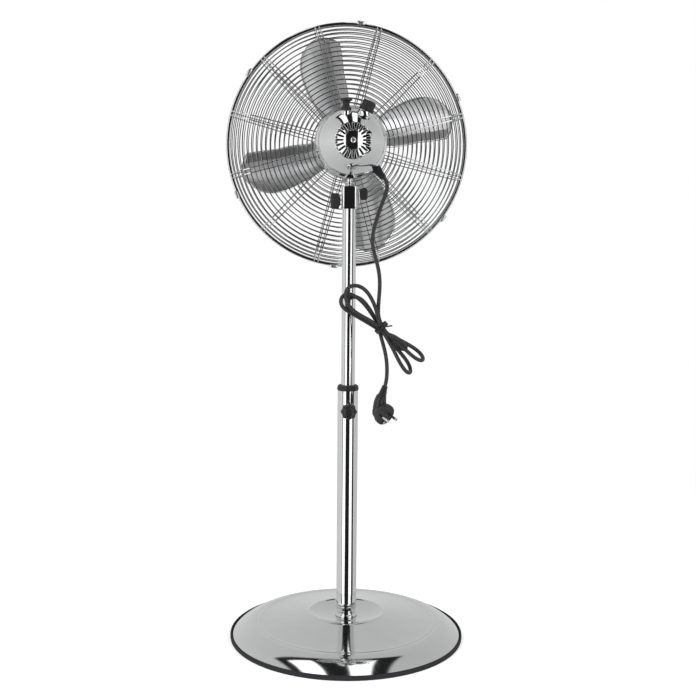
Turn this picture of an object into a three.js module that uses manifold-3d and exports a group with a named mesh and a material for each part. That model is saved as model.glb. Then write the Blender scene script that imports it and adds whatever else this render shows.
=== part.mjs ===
// A chrome pedestal fan. Millimetres, +Z up, the pole on the Z axis and the floor at z = 0.
// The air blows towards +Y; the motor housing, its knobs and the mains lead face -Y.
import * as THREE from "three";
import { mergeVertices } from "three/addons/utils/BufferGeometryUtils.js";
import Module from "manifold-3d";

const wasm = await Module();
wasm.setup();

const GAP = 0.3; // air between pieces that touch

// Base
const BASE_RADIUS = 208; // outside of the rubber edge
const EDGE_HEIGHT = 8.6;
const COVER_WALL = 2;
const DISH_RADIUS = 66; // the raised crease round the middle dish
const DISH_EDGE_Z = 43;
const DISH_FLOOR_Z = 36;
const SHOULDER_RADIUS = 158; // where the slope turns into the skirt
const SHOULDER_Z = 28;
const WEIGHT_RADIUS = 172;
const BOLT_RADIUS = 4;

// Pole
const OUTER_TUBE_RADIUS = 18;
const INNER_TUBE_RADIUS = 12;
const TUBE_WALL = 1.2;
const OUTER_TUBE_FOOT = 57;
const OUTER_TUBE_TOP = 446;
const INNER_TUBE_FOOT = 240;
const INNER_TUBE_TOP = 779;
const CAP_HEIGHT = 9;
const HEIGHT_KNOB_Z = 414;
const HEIGHT_KNOB_RADIUS = 14.3;

// Neck
const TILT_Z = 787;
const SOCKET_WALL = 2.2;
const SOCKET_RADIUS = INNER_TUBE_RADIUS + GAP + SOCKET_WALL;
const SOCKET_FOOT = 762;
const SOCKET_TOP = 801;
const SOCKET_KNOB_Z = 775;
const STEM_RADIUS = 5;
const STEM_TIP_RADIUS = 4; // above the arm, where the head turns on it
const TILT_SCREW_RADIUS = 2.5;

// Motor housing, in the head's own frame: the origin is on the motor axis above the pole
const SHELL_RADIUS = 61;
const NECK_GAP = 11; // from the socket's top to the housing
const MOTOR_Z = SOCKET_TOP + NECK_GAP + SHELL_RADIUS;
const SHELL_REAR = -14;
const SHELL_FRONT = 32.5;
const SHELL_WALL = 1.8;
const COLLAR_RADIUS = 24;
const COLLAR_FRONT = 50;
const DOME_RADIUS = SHELL_RADIUS - 0.5;
const DOME_FRONT = -16;
const DOME_SHOULDER = -38; // the cover is a straight tube as far as here, then half an ellipsoid
const DOME_LENGTH = 70; // of the ellipsoid part
const SLOT_COUNT = 20;
const KNOB_Y = -79;
const OSCILLATION_KNOB_X = -10.5;
const SPEED_KNOB_LEAN = THREE.MathUtils.degToRad(24);
const SPEED_KNOB_RADIUS = 12.5;
const SWITCH_RADIUS = 9.5;
const KNOB_FOOT_RADIUS = 8;

// Motor and gearbox
const STATOR_RADIUS = 31;
const STATOR_BORE = 24;
const STATOR_REAR = -6;
const STATOR_FRONT = 16;
const SHAFT_RADIUS = 4;
const SHAFT_REAR = KNOB_Y - 12;
const SHAFT_FRONT = 104;
const WORM_RADIUS = 3.2;
const BEARING_RADIUS = 11;
const BRACKET_THICKNESS = 4.5;
const REAR_BRACKET_Y = -22;
const FRONT_BRACKET_Y = 24;
const ARM_LENGTH = 10.5; // stem axis to the link's fixed pin
const SWING = THREE.MathUtils.degToRad(42); // oscillation to each side
const LINK_TOP = -STATOR_RADIUS - 3.6;
const LINK_THICKNESS = 1.6;

// Guard and blades
const GUARD_RADIUS = 216; // outside of the rim band
const RIM_Y = 97;
const RIM_WIDTH = 19;
const RIM_WALL = 1.6;
const RIM_WIRE = 2; // radius of the two rim wires
const GUARD_WIRE = 1.7; // radius of a ring wire
const GUARD_RINGS = [76, 116, 156, 190];
const GUARD_SEGMENTS = 24;
const GUARD_HUB_RADIUS = 44;
const BADGE_REAR = 139; // front face of the front guard's hub
const BADGE_RADIUS = 43;
const SPOKES = 12;
const CLIPS = 6;
const CLIP_START = THREE.MathUtils.degToRad(24);
const BLADES = 4;
const BLADE_START = THREE.MathUtils.degToRad(15);
const BLADE_TIP = 193;
const BLADE_PITCH = THREE.MathUtils.degToRad(27);
const BLADE_THICKNESS = 1.8;
const BLADE_Y = 80; // the blades' middle plane
const HUB_RADIUS = 30;
const HUB_REAR = 62;
const HUB_FRONT = 92;

// Mains lead
const CORD_RADIUS = 3.3;
const CORD_SIDES = 10;
const CORD_Y = -80; // plane in which the lead hangs
const HANK_CENTRE = new THREE.Vector3(51, CORD_Y, 565);
const HANK_ANGLE = THREE.MathUtils.degToRad(-46);
const HANK_HALF_LENGTH = 93;
const HANK_HALF_WIDTH = 24;
const HANK_WAIST = 10.5;
const HANK_THICKNESS = 24;
const TIE_WIDTH = 6;
const TIE_WALL = 1.6;
const GLAND_LENGTH = 28;
const PLUG_RADIUS = 18.5;

// Materials: colour, roughness, metalness
const finish = (color, roughness, metalness) => ({ color, roughness, metalness });
const CHROME = finish(0xd9dbdc, 0.08, 1);
const SATIN = finish(0x9a9c9d, 0.35, 1);
const STEEL = finish(0x8b8d8f, 0.4, 1);
const IRON = finish(0x4a4a4c, 0.7, 0.6);
const BRASS = finish(0xb08d45, 0.35, 1);
const COPPER = finish(0xa8623a, 0.4, 1);
const BLACK = finish(0x16181a, 0.45, 0);
const RUBBER = finish(0x121314, 0.8, 0);

// ---- Solids ----

// A closed three.js geometry as a solid, with its faces turned outwards.
function solid(geometry) {
  const bare = geometry.index ? geometry.toNonIndexed() : geometry.clone();
  bare.deleteAttribute("normal");
  bare.deleteAttribute("uv");
  const merged = mergeVertices(bare, 1e-4);
  const place = merged.attributes.position;
  const corners = merged.index.array;
  const [a, b, c] = [new THREE.Vector3(), new THREE.Vector3(), new THREE.Vector3()];
  const faces = [];
  let volume = 0;
  for (let i = 0; i < corners.length; i += 3) {
    const [p, q, r] = [corners[i], corners[i + 1], corners[i + 2]];
    if (p === q || q === r || r === p) continue;
    a.fromBufferAttribute(place, p);
    b.fromBufferAttribute(place, q);
    c.fromBufferAttribute(place, r);
    volume += a.dot(b.cross(c));
    faces.push(p, q, r);
  }
  if (volume < 0) faces.reverse();
  const triVerts = new Uint32Array(faces);
  return new wasm.Manifold(new wasm.Mesh({ numProp: 3, vertProperties: place.array, triVerts }));
}

// A solid turned about +Z from a profile of [radius, z] points that closes on itself or on the axis.
function turned(profile, segments = 24, closed = true) {
  const points = profile.map(([r, z]) => new THREE.Vector2(r, z));
  if (closed) points.push(points[0].clone());
  return solid(new THREE.LatheGeometry(points, segments).rotateX(Math.PI / 2));
}

// The same about +Y, from [radius, y] points.
function turnedY(profile, segments = 24, closed = true) {
  const points = profile.map(([r, y]) => new THREE.Vector2(r, y));
  if (closed) points.push(points[0].clone());
  return solid(new THREE.LatheGeometry(points, segments));
}

// A ring, or a disc when the bore is 0, turned about +Y between two planes.
function ringY(outer, bore, y0, y1, segments = 24) {
  const round = [[outer, y0], [outer, y1]];
  return bore > 0
    ? turnedY([[bore, y0], ...round, [bore, y1]], segments)
    : turnedY([[0, y0], ...round, [0, y1]], segments, false);
}

// A round bar from one point to another; the far end may have another radius.
function bar(from, to, radius, farRadius = radius, sides = 14) {
  const along = new THREE.Vector3().subVectors(to, from);
  const geometry = new THREE.CylinderGeometry(farRadius, radius, along.length(), sides);
  const turn = new THREE.Quaternion().setFromUnitVectors(
    new THREE.Vector3(0, 1, 0),
    along.clone().normalize(),
  );
  geometry.applyQuaternion(turn);
  const middle = from.clone().addScaledVector(along, 0.5);
  return solid(geometry.translate(middle.x, middle.y, middle.z));
}

const at = (x, y, z) => new THREE.Vector3(x, y, z);

// A box between two opposite corners.
function block([x0, y0, z0], [x1, y1, z1]) {
  const geometry = new THREE.BoxGeometry(x1 - x0, y1 - y0, z1 - z0);
  return solid(geometry.translate((x0 + x1) / 2, (y0 + y1) / 2, (z0 + z1) / 2));
}

// A flat outline pushed out from y0 to y1, its own y being the model's z.
function plate(shape, y0, y1, curveSegments = 12) {
  const options = { depth: y1 - y0, bevelEnabled: false, curveSegments };
  const geometry = new THREE.ExtrudeGeometry(shape, options);
  return solid(geometry.rotateX(Math.PI / 2).translate(0, y1, 0));
}

// A tube of round section along a curve.
function tube(curve, radius, sides, steps) {
  const section = new THREE.Shape();
  for (let i = 0; i < sides; i += 1) {
    const angle = (2 * Math.PI * i) / sides;
    const place = [radius * Math.cos(angle), radius * Math.sin(angle)];
    if (i === 0) section.moveTo(...place);
    else section.lineTo(...place);
  }
  section.closePath();
  return solid(new THREE.ExtrudeGeometry(section, { steps, extrudePath: curve }));
}

function joined(pieces) {
  return pieces.reduce((whole, piece) => whole.add(piece));
}

// Adds a solid to a group as a mesh of its own.
function addPiece(group, name, body, look) {
  const made = body.getMesh();
  const geometry = new THREE.BufferGeometry();
  geometry.setAttribute("position", new THREE.BufferAttribute(made.vertProperties, 3));
  geometry.setIndex(new THREE.BufferAttribute(made.triVerts, 1));
  geometry.computeVertexNormals();
  const mesh = new THREE.Mesh(geometry, new THREE.MeshStandardMaterial(look));
  mesh.name = name;
  group.add(mesh);
}

// A knob grip about +Y with shallow lobes, from y0 to y1.
function lobedGrip(radius, lobes, depth, y0, y1) {
  const shape = new THREE.Shape();
  const points = 4 * lobes;
  for (let i = 0; i < points; i += 1) {
    const angle = (2 * Math.PI * i) / points;
    const reach = radius - depth * (0.5 - 0.5 * Math.cos(lobes * angle));
    const place = [reach * Math.cos(angle), reach * Math.sin(angle)];
    if (i === 0) shape.moveTo(...place);
    else shape.lineTo(...place);
  }
  shape.closePath();
  return plate(shape, y0, y1);
}

// ---- Base ----

// Height of the base cover's outer face at a radius.
function coverHeight(radius) {
  if (radius <= DISH_RADIUS) {
    const share = radius / DISH_RADIUS;
    return DISH_FLOOR_Z + (DISH_EDGE_Z - DISH_FLOOR_Z) * Math.max(0, (share - 0.42) / 0.58) ** 1.6;
  }
  if (radius <= SHOULDER_RADIUS) {
    const share = (SHOULDER_RADIUS - radius) / (SHOULDER_RADIUS - DISH_RADIUS);
    return SHOULDER_Z + (DISH_EDGE_Z - SHOULDER_Z) * share ** 1.25;
  }
  const rim = BASE_RADIUS - 3.6;
  const share = Math.min(1, (radius - SHOULDER_RADIUS) / (rim - SHOULDER_RADIUS));
  return SHOULDER_Z - (SHOULDER_Z - EDGE_HEIGHT + 2) * share ** 1.8;
}

const BASE_BORE = BOLT_RADIUS + 0.5;
const FLANGE_FOOT = DISH_FLOOR_Z + GAP;
const SPIGOT_TOP = OUTER_TUBE_FOOT + 18;
const OUTER_TUBE_BORE = OUTER_TUBE_RADIUS - TUBE_WALL;

function buildBase() {
  const base = new THREE.Group();
  const rim = BASE_RADIUS - 3.6;
  const foot = 4;
  const [dish, slope, skirt] = [DISH_RADIUS, SHOULDER_RADIUS - DISH_RADIUS, rim - SHOULDER_RADIUS];
  const outerRadii = [BASE_BORE, dish * 0.42, dish * 0.72, dish * 0.9, dish, dish + slope * 0.3];
  outerRadii.push(dish + slope * 0.65, SHOULDER_RADIUS, rim - skirt * 0.66, rim - skirt * 0.33, rim);
  const innerRadii = [rim - COVER_WALL - 9, SHOULDER_RADIUS, dish, dish * 0.7, BASE_BORE];
  const profile = [
    ...outerRadii.map((radius) => [radius, coverHeight(radius)]),
    [rim, foot],
    [rim - COVER_WALL, foot],
    ...innerRadii.map((radius) => [radius, coverHeight(radius) - COVER_WALL]),
  ];
  addPiece(base, "base_cover", turned(profile, 40), CHROME);

  const edge = [
    [BASE_RADIUS - 12, 0],
    [BASE_RADIUS - 1.5, 0],
    [BASE_RADIUS, 2],
    [BASE_RADIUS, EDGE_HEIGHT - 1.5],
    [BASE_RADIUS - 1.4, EDGE_HEIGHT],
    [rim + GAP, EDGE_HEIGHT],
    [rim + GAP, foot - GAP],
    [BASE_RADIUS - 12, foot - GAP],
  ];
  addPiece(base, "base_edge_ring", turned(edge, 40), RUBBER);

  const bossTop = DISH_FLOOR_Z - COVER_WALL - GAP;
  const weight = [
    [BASE_BORE, 4],
    [WEIGHT_RADIUS, 4],
    [WEIGHT_RADIUS, 9],
    [40, 9],
    [26, bossTop],
    [BASE_BORE, bossTop],
  ];
  addPiece(base, "base_weight", turned(weight, 32), IRON);

  const neck = 17.3;
  const groove = neck - 0.8;
  const lip = OUTER_TUBE_RADIUS + 1.7;
  const flange = [
    [BASE_BORE, FLANGE_FOOT],
    [lip, FLANGE_FOOT],
    [lip, FLANGE_FOOT + 3],
    [neck, FLANGE_FOOT + 4.2],
    [neck, FLANGE_FOOT + 7],
    [groove, FLANGE_FOOT + 7.6],
    [neck, FLANGE_FOOT + 8.2],
    [neck, FLANGE_FOOT + 11],
    [groove, FLANGE_FOOT + 11.6],
    [neck, FLANGE_FOOT + 12.2],
    [neck, OUTER_TUBE_FOOT - 4],
    [lip, OUTER_TUBE_FOOT - 3],
    [lip, OUTER_TUBE_FOOT - GAP],
    [OUTER_TUBE_BORE - GAP, OUTER_TUBE_FOOT - GAP],
    [OUTER_TUBE_BORE - GAP, SPIGOT_TOP],
    [BASE_BORE, SPIGOT_TOP],
  ];
  addPiece(base, "base_flange", turned(flange, 24), CHROME);

  const bolt = [
    [0, 1],
    [8, 1],
    [8, 4 - GAP],
    [BOLT_RADIUS, 4 - GAP],
    [BOLT_RADIUS, SPIGOT_TOP - 3],
    [0, SPIGOT_TOP - 3],
  ];
  addPiece(base, "base_bolt", turned(bolt, 24, false), STEEL);
  return base;
}

// ---- Pole ----

const KNOB_SCREW = 4;
const TUBE_FRONT_KNOB = at(0, 0, HEIGHT_KNOB_Z);
const TUBE_CLEARANCE = [OUTER_TUBE_RADIUS + GAP, OUTER_TUBE_RADIUS + GAP, 28];

function buildOuterPole() {
  const pole = new THREE.Group();
  const screwHole = bar(at(0, -40, HEIGHT_KNOB_Z), at(0, 0, HEIGHT_KNOB_Z), KNOB_SCREW + GAP);
  const wall = [
    [OUTER_TUBE_BORE, OUTER_TUBE_FOOT],
    [OUTER_TUBE_RADIUS, OUTER_TUBE_FOOT],
    [OUTER_TUBE_RADIUS, OUTER_TUBE_TOP],
    [OUTER_TUBE_BORE, OUTER_TUBE_TOP],
  ];
  addPiece(pole, "outer_tube", turned(wall, 28).subtract(screwHole), CHROME);

  const slide = INNER_TUBE_RADIUS + GAP;
  const seat = OUTER_TUBE_TOP + GAP;
  const cap = [
    [slide, seat - 16],
    [OUTER_TUBE_BORE - GAP, seat - 16],
    [OUTER_TUBE_BORE - GAP, seat],
    [OUTER_TUBE_RADIUS + 0.6, seat],
    [OUTER_TUBE_RADIUS + 1, seat + CAP_HEIGHT * 0.35],
    [OUTER_TUBE_RADIUS, seat + CAP_HEIGHT * 0.8],
    [OUTER_TUBE_RADIUS - 1.6, seat + CAP_HEIGHT],
    [slide, seat + CAP_HEIGHT],
  ];
  addPiece(pole, "tube_cap", turned(cap, 24), BLACK);

  const clearTube = bar(at(0, 0, HEIGHT_KNOB_Z - 30), at(0, 0, HEIGHT_KNOB_Z + 30), ...TUBE_CLEARANCE);
  const boss = bar(at(0, -27, HEIGHT_KNOB_Z), at(0, -10, HEIGHT_KNOB_Z), 8, 8, 24);
  addPiece(pole, "height_boss", boss.subtract(clearTube).subtract(screwHole), CHROME);

  const grip = lobedGrip(HEIGHT_KNOB_RADIUS, 8, 1.4, -44, -31);
  const collar = ringY(8.5, 0, -32, -27 - GAP, 24);
  const screw = ringY(KNOB_SCREW, 0, -32, -(INNER_TUBE_RADIUS + GAP), 20);
  const cap2 = turnedY([[0, -46.5], [9, -46], [11.5, -43.5], [0, -43.5]], 24, false);
  const knob = joined([grip, collar, screw, cap2]).translate(TUBE_FRONT_KNOB.toArray());
  addPiece(pole, "height_knob", knob, BLACK);
  return pole;
}

function buildInnerPole() {
  const mast = new THREE.Group();
  const wall = [
    [INNER_TUBE_RADIUS - TUBE_WALL, INNER_TUBE_FOOT],
    [INNER_TUBE_RADIUS, INNER_TUBE_FOOT],
    [INNER_TUBE_RADIUS, INNER_TUBE_TOP],
    [INNER_TUBE_RADIUS - TUBE_WALL, INNER_TUBE_TOP],
  ];
  addPiece(mast, "inner_tube", turned(wall), CHROME);
  const bush = [
    [INNER_TUBE_RADIUS + GAP, INNER_TUBE_FOOT],
    [OUTER_TUBE_BORE - GAP, INNER_TUBE_FOOT],
    [OUTER_TUBE_BORE - GAP, INNER_TUBE_FOOT + 22],
    [INNER_TUBE_RADIUS + GAP, INNER_TUBE_FOOT + 22],
  ];
  addPiece(mast, "guide_bush", turned(bush), BLACK);

  // The socket is a cup over the tube's end, with a lug on its right side for the tilt screw.
  const bore = INNER_TUBE_RADIUS + GAP;
  const cup = turned(
    [
      [bore, SOCKET_FOOT],
      [SOCKET_RADIUS + 0.7, SOCKET_FOOT],
      [SOCKET_RADIUS + 0.7, SOCKET_FOOT + 1.5],
      [SOCKET_RADIUS, SOCKET_FOOT + 4],
      [SOCKET_RADIUS, SOCKET_TOP - 2],
      [SOCKET_RADIUS - 0.6, SOCKET_TOP],
      [bore, SOCKET_TOP],
    ],
    28,
  );
  const lug = block([bore + 1, -7, SOCKET_KNOB_Z - 5], [SOCKET_RADIUS + 2.5, 7, TILT_Z + 8]);
  const [holeStart, holeEnd] = [SOCKET_RADIUS - 4, SOCKET_RADIUS + 9];
  const lugHole = bar(at(holeStart, 0, SOCKET_KNOB_Z), at(holeEnd, 0, SOCKET_KNOB_Z), 2);
  const screwHole = bar(at(0, 0, TILT_Z), at(30, 0, TILT_Z), TILT_SCREW_RADIUS + GAP);
  const knobHole = bar(at(-30, 0, SOCKET_KNOB_Z), at(0, 0, SOCKET_KNOB_Z), 3 + GAP);
  const innerBore = bar(at(0, 0, SOCKET_FOOT - 5), at(0, 0, SOCKET_TOP + 5), bore, bore, 28);
  const socket = cup.add(lug.subtract(innerBore)).subtract(screwHole).subtract(knobHole).subtract(lugHole);
  addPiece(mast, "head_socket", socket, CHROME);

  const start = -(SOCKET_RADIUS + 0.7 + GAP);
  const grip = lobedGrip(14.2, 10, 1.1, -16, 0)
    .rotate([0, 0, -90])
    .translate([start - 1.5, 0, SOCKET_KNOB_Z]);
  const neck = bar(at(start - 3, 0, SOCKET_KNOB_Z), at(start, 0, SOCKET_KNOB_Z), 9, 7);
  const screw = bar(at(start - 3, 0, SOCKET_KNOB_Z), at(-(INNER_TUBE_RADIUS + GAP), 0, SOCKET_KNOB_Z), 3);
  addPiece(mast, "socket_knob", joined([grip, neck, screw]), BLACK);
  return mast;
}

// ---- Neck ----

// In the frame of the tilt axis. The stem is the vertical pin that the head swings on.
function buildNeck() {
  const neck = new THREE.Group();
  neck.position.z = TILT_Z;
  const head = MOTOR_Z - TILT_Z;
  const armTop = head + LINK_TOP - LINK_THICKNESS - 0.5 - 0.2;
  const eye = bar(at(-7.5, 0, 0), at(7.5, 0, 0), 6.3);
  const stem = turned(
    [
      [0, 0],
      [STEM_RADIUS, 0],
      [STEM_RADIUS, 17.5],
      [8, 18.2],
      [8, 20.2],
      [STEM_RADIUS, 21],
      [STEM_RADIUS, armTop],
      [STEM_TIP_RADIUS, armTop],
      [STEM_TIP_RADIUS, head - STATOR_RADIUS - 2 * GAP],
      [0, head - STATOR_RADIUS - 2 * GAP],
    ],
    20,
    false,
  );
  const { pin } = linkage();
  const arm = joined([
    bar(at(0, 0, armTop - 2.7), at(0, 0, armTop), 7.5),
    bar(at(pin.x, pin.y, armTop - 2.7), at(pin.x, pin.y, armTop), 3.6),
    spanBar(at(0, 0, armTop - 2.7), at(pin.x, pin.y, armTop - 2.7), 6, 2.7),
  ]);
  const screwBore = bar(at(-9, 0, 0), at(9, 0, 0), TILT_SCREW_RADIUS + GAP);
  addPiece(neck, "pivot_stem", joined([eye, stem, arm]).subtract(screwBore), CHROME);

  const start = SOCKET_RADIUS + 2.5 + GAP;
  const grip = lobedGrip(10.5, 10, 0.8, 0, 13).rotate([0, 0, -90]).translate([start + 0.8, 0, 0]);
  const screw = bar(at(-11, 0, 0), at(start + 2, 0, 0), TILT_SCREW_RADIUS);
  const collar = bar(at(start, 0, 0), at(start + 2, 0, 0), 6);
  addPiece(neck, "tilt_knob", joined([grip, collar, screw]), BLACK);
  return neck;
}

// A flat bar lying between two points at the same height, with square ends.
function spanBar(from, to, width, thickness) {
  const length = from.distanceTo(to);
  const angle = Math.atan2(to.y - from.y, to.x - from.x);
  const geometry = new THREE.BoxGeometry(length, width, thickness);
  geometry.rotateZ(angle);
  return solid(
    geometry.translate((from.x + to.x) / 2, (from.y + to.y) / 2, from.z + thickness / 2),
  );
}

// The crank under the gearbox pushes a link against the fixed arm on the stem. The fixed pin lies
// where its path points at the crank, so that both ends of the swing are alike. The link keeps one
// direction in the head, midway between the one it has at rest and at the ends of the swing, so its
// open end passes just above the fixed pin. Everything is in the head's frame, seen from above.
function linkage() {
  const axis = new THREE.Vector2(OSCILLATION_KNOB_X, KNOB_Y);
  const reach = axis.length();
  const rest = Math.atan2(axis.y, axis.x) + Math.acos(ARM_LENGTH / reach);
  const origin = new THREE.Vector2();
  const pinAt = (turn) => new THREE.Vector2(ARM_LENGTH, 0).rotateAround(origin, rest - turn);
  const throwRadius = (pinAt(-SWING).distanceTo(axis) - pinAt(SWING).distanceTo(axis)) / 2;
  const away = pinAt(0).sub(axis).normalize();
  const crankPin = axis.clone().addScaledVector(new THREE.Vector2(away.y, -away.x), throwRadius);
  const straight = pinAt(0).sub(crankPin);
  const atEnd = pinAt(SWING).sub(axis).normalize();
  const way = straight.clone().normalize().add(atEnd).normalize();
  const linkEnd = crankPin.clone().addScaledVector(way, straight.length());
  return { pin: pinAt(0), axis, crankPin, linkEnd };
}

// ---- Motor housing ----

const DOME_SEGMENTS = 30;
const DOME_TIP = DOME_SHOULDER - DOME_LENGTH;

// Radius of the rear cover's outer face at a place along the motor axis.
function domeRadius(y) {
  const share = Math.min(1, Math.max(0, (DOME_SHOULDER - y) / DOME_LENGTH));
  return DOME_RADIUS * Math.sqrt(1 - share ** 2);
}

// The solid inside a dome of the cover's form, drawn in by `inset`.
function domeSolid(inset, front) {
  const steps = 6;
  const profile = [[0, front], [DOME_RADIUS - inset, front]];
  for (let i = 0; i < steps; i += 1) {
    const angle = (i / steps) * (Math.PI / 2);
    const reach = (DOME_LENGTH - inset) * Math.sin(angle);
    profile.push([(DOME_RADIUS - inset) * Math.cos(angle), DOME_SHOULDER - reach]);
  }
  profile.push([0, DOME_TIP + inset]);
  return turnedY(profile, DOME_SEGMENTS, false);
}

const speedAxis = at(Math.sin(SPEED_KNOB_LEAN), 0, Math.cos(SPEED_KNOB_LEAN));
const alongSpeed = (distance) => at(0, KNOB_Y, 0).addScaledVector(speedAxis, distance);
// The knobs stand on short necks of the cover, as high as its surface at their front edges.
const SPEED_SEAT = domeRadius(KNOB_Y + SPEED_KNOB_RADIUS) - 0.4;
const KNOB_SEAT_Z = domeRadius(KNOB_Y + KNOB_FOOT_RADIUS) - 0.4;

function buildHousing(head) {
  const inner = SHELL_RADIUS - SHELL_WALL;
  const shell = turnedY(
    [
      [SHELL_RADIUS, SHELL_REAR],
      [SHELL_RADIUS, SHELL_FRONT - 8],
      [SHELL_RADIUS - 1.2, SHELL_FRONT - 4],
      [SHELL_RADIUS - 4, SHELL_FRONT - 1],
      [SHELL_RADIUS - 8, SHELL_FRONT],
      [COLLAR_RADIUS, SHELL_FRONT],
      [COLLAR_RADIUS, COLLAR_FRONT],
      [COLLAR_RADIUS - 3, COLLAR_FRONT],
      [COLLAR_RADIUS - 3, SHELL_FRONT - SHELL_WALL],
      [SHELL_RADIUS - 9, SHELL_FRONT - SHELL_WALL],
      [inner - 2, SHELL_FRONT - 5],
      [inner, SHELL_FRONT - 9],
      [inner, SHELL_REAR],
    ],
    DOME_SEGMENTS,
  );
  const stemHole = bar(at(0, 0, -SHELL_RADIUS - 5), at(0, 0, -SHELL_RADIUS + 12), STEM_RADIUS + 2);
  addPiece(head, "front_shell", shell.subtract(stemHole), CHROME);
  addPiece(
    head,
    "housing_seal",
    ringY(DOME_RADIUS - 0.5, DOME_RADIUS - 3.5, DOME_FRONT + GAP, SHELL_REAR - GAP, DOME_SEGMENTS),
    RUBBER,
  );

  let cover = domeSolid(0, DOME_FRONT);
  const seatRadii = [SPEED_KNOB_RADIUS + 0.8, SPEED_KNOB_RADIUS + 0.4];
  cover = cover.add(bar(alongSpeed(SPEED_SEAT - 9), alongSpeed(SPEED_SEAT), ...seatRadii, 20));
  const knobFoot = (z) => at(OSCILLATION_KNOB_X, KNOB_Y, z);
  cover = cover.add(bar(knobFoot(KNOB_SEAT_Z - 9.4), knobFoot(KNOB_SEAT_Z), 8.4, KNOB_FOOT_RADIUS, 16));
  cover = cover.subtract(domeSolid(SHELL_WALL, DOME_FRONT + 5));
  cover = cover.subtract(bar(alongSpeed(SPEED_SEAT - 23), alongSpeed(SPEED_SEAT + 7), 6));
  cover = cover.subtract(bar(knobFoot(KNOB_SEAT_Z - 21), knobFoot(KNOB_SEAT_Z + 9), 3));
  cover = cover.subtract(ringY(2.6, 0, DOME_TIP - 8, DOME_TIP + 12, 16));
  const slots = [];
  for (let i = 0; i < SLOT_COUNT; i += 1) {
    const slot = block([16, DOME_TIP - 6, -1.4], [29, DOME_TIP + 20, 1.4]);
    slots.push(slot.rotate([0, (360 * i) / SLOT_COUNT, 0]));
  }
  addPiece(head, "rear_cover", cover.subtract(joined(slots)), CHROME);

  const screw = [
    [0, DOME_TIP - 2.6],
    [3.4, DOME_TIP - 2.2],
    [4.7, DOME_TIP - GAP],
    [2.2, DOME_TIP - GAP],
    [2.2, DOME_TIP + 12],
    [0, DOME_TIP + 12],
  ];
  addPiece(head, "rear_cover_screw", turnedY(screw, 20, false), CHROME);
}

function buildControls(head) {
  const seat = KNOB_SEAT_Z + GAP;
  const knob = turned(
    [
      [0, 10],
      [2, 10],
      [2, seat],
      [KNOB_FOOT_RADIUS, seat],
      [KNOB_FOOT_RADIUS, seat + 2],
      [5, seat + 4.5],
      [5, seat + 11],
      [10, seat + 13.5],
      [10, seat + 16],
      [8.5, seat + 17],
      [0, seat + 17],
    ],
    20,
    false,
  );
  addPiece(head, "oscillation_knob", knob.translate([OSCILLATION_KNOB_X, KNOB_Y, 0]), BLACK);

  // The speed switch hangs under the cover; its neck and bezel come out through the cover's hole.
  const roof = domeRadius(KNOB_Y - SWITCH_RADIUS) - SHELL_WALL;
  const innerSeat = Math.sqrt(roof ** 2 - SWITCH_RADIUS ** 2) - 1.4;
  const body = bar(alongSpeed(innerSeat - 12), alongSpeed(innerSeat), SWITCH_RADIUS);
  const neck = bar(alongSpeed(innerSeat - 1), alongSpeed(SPEED_SEAT + 1), 5.5);
  const bezel = bar(alongSpeed(SPEED_SEAT + GAP), alongSpeed(SPEED_SEAT + 1.8), 12.2, 12.2, 20);
  const bore = bar(alongSpeed(innerSeat + 4), alongSpeed(SPEED_SEAT + 5), 3 + GAP);
  addPiece(head, "speed_switch", joined([body, neck, bezel]).subtract(bore), BLACK);

  const grip = lobedGrip(SPEED_KNOB_RADIUS, 14, 1.1, 0, 13.5);
  const skirt = ringY(SPEED_KNOB_RADIUS, 0, -13.5 - 1.5, -13.5 + 0.01, 20);
  const shaft = ringY(3, 0, -26, -2, 12);
  const turnUp = joined([grip.translate([0, -13.5, 0]), skirt, shaft]);
  const lean = THREE.MathUtils.radToDeg(SPEED_KNOB_LEAN);
  const foot = alongSpeed(SPEED_SEAT + 1.8 + GAP + 15).toArray();
  const leaning = turnUp.rotate([90, 0, 0]).rotate([0, lean, 0]);
  addPiece(head, "speed_knob", leaning.translate(foot), BLACK);

  const can = bar(at(22, -52, -24), at(22, -26, -24), 8);
  addPiece(head, "capacitor", can, BLACK);
}

// ---- Motor ----

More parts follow.
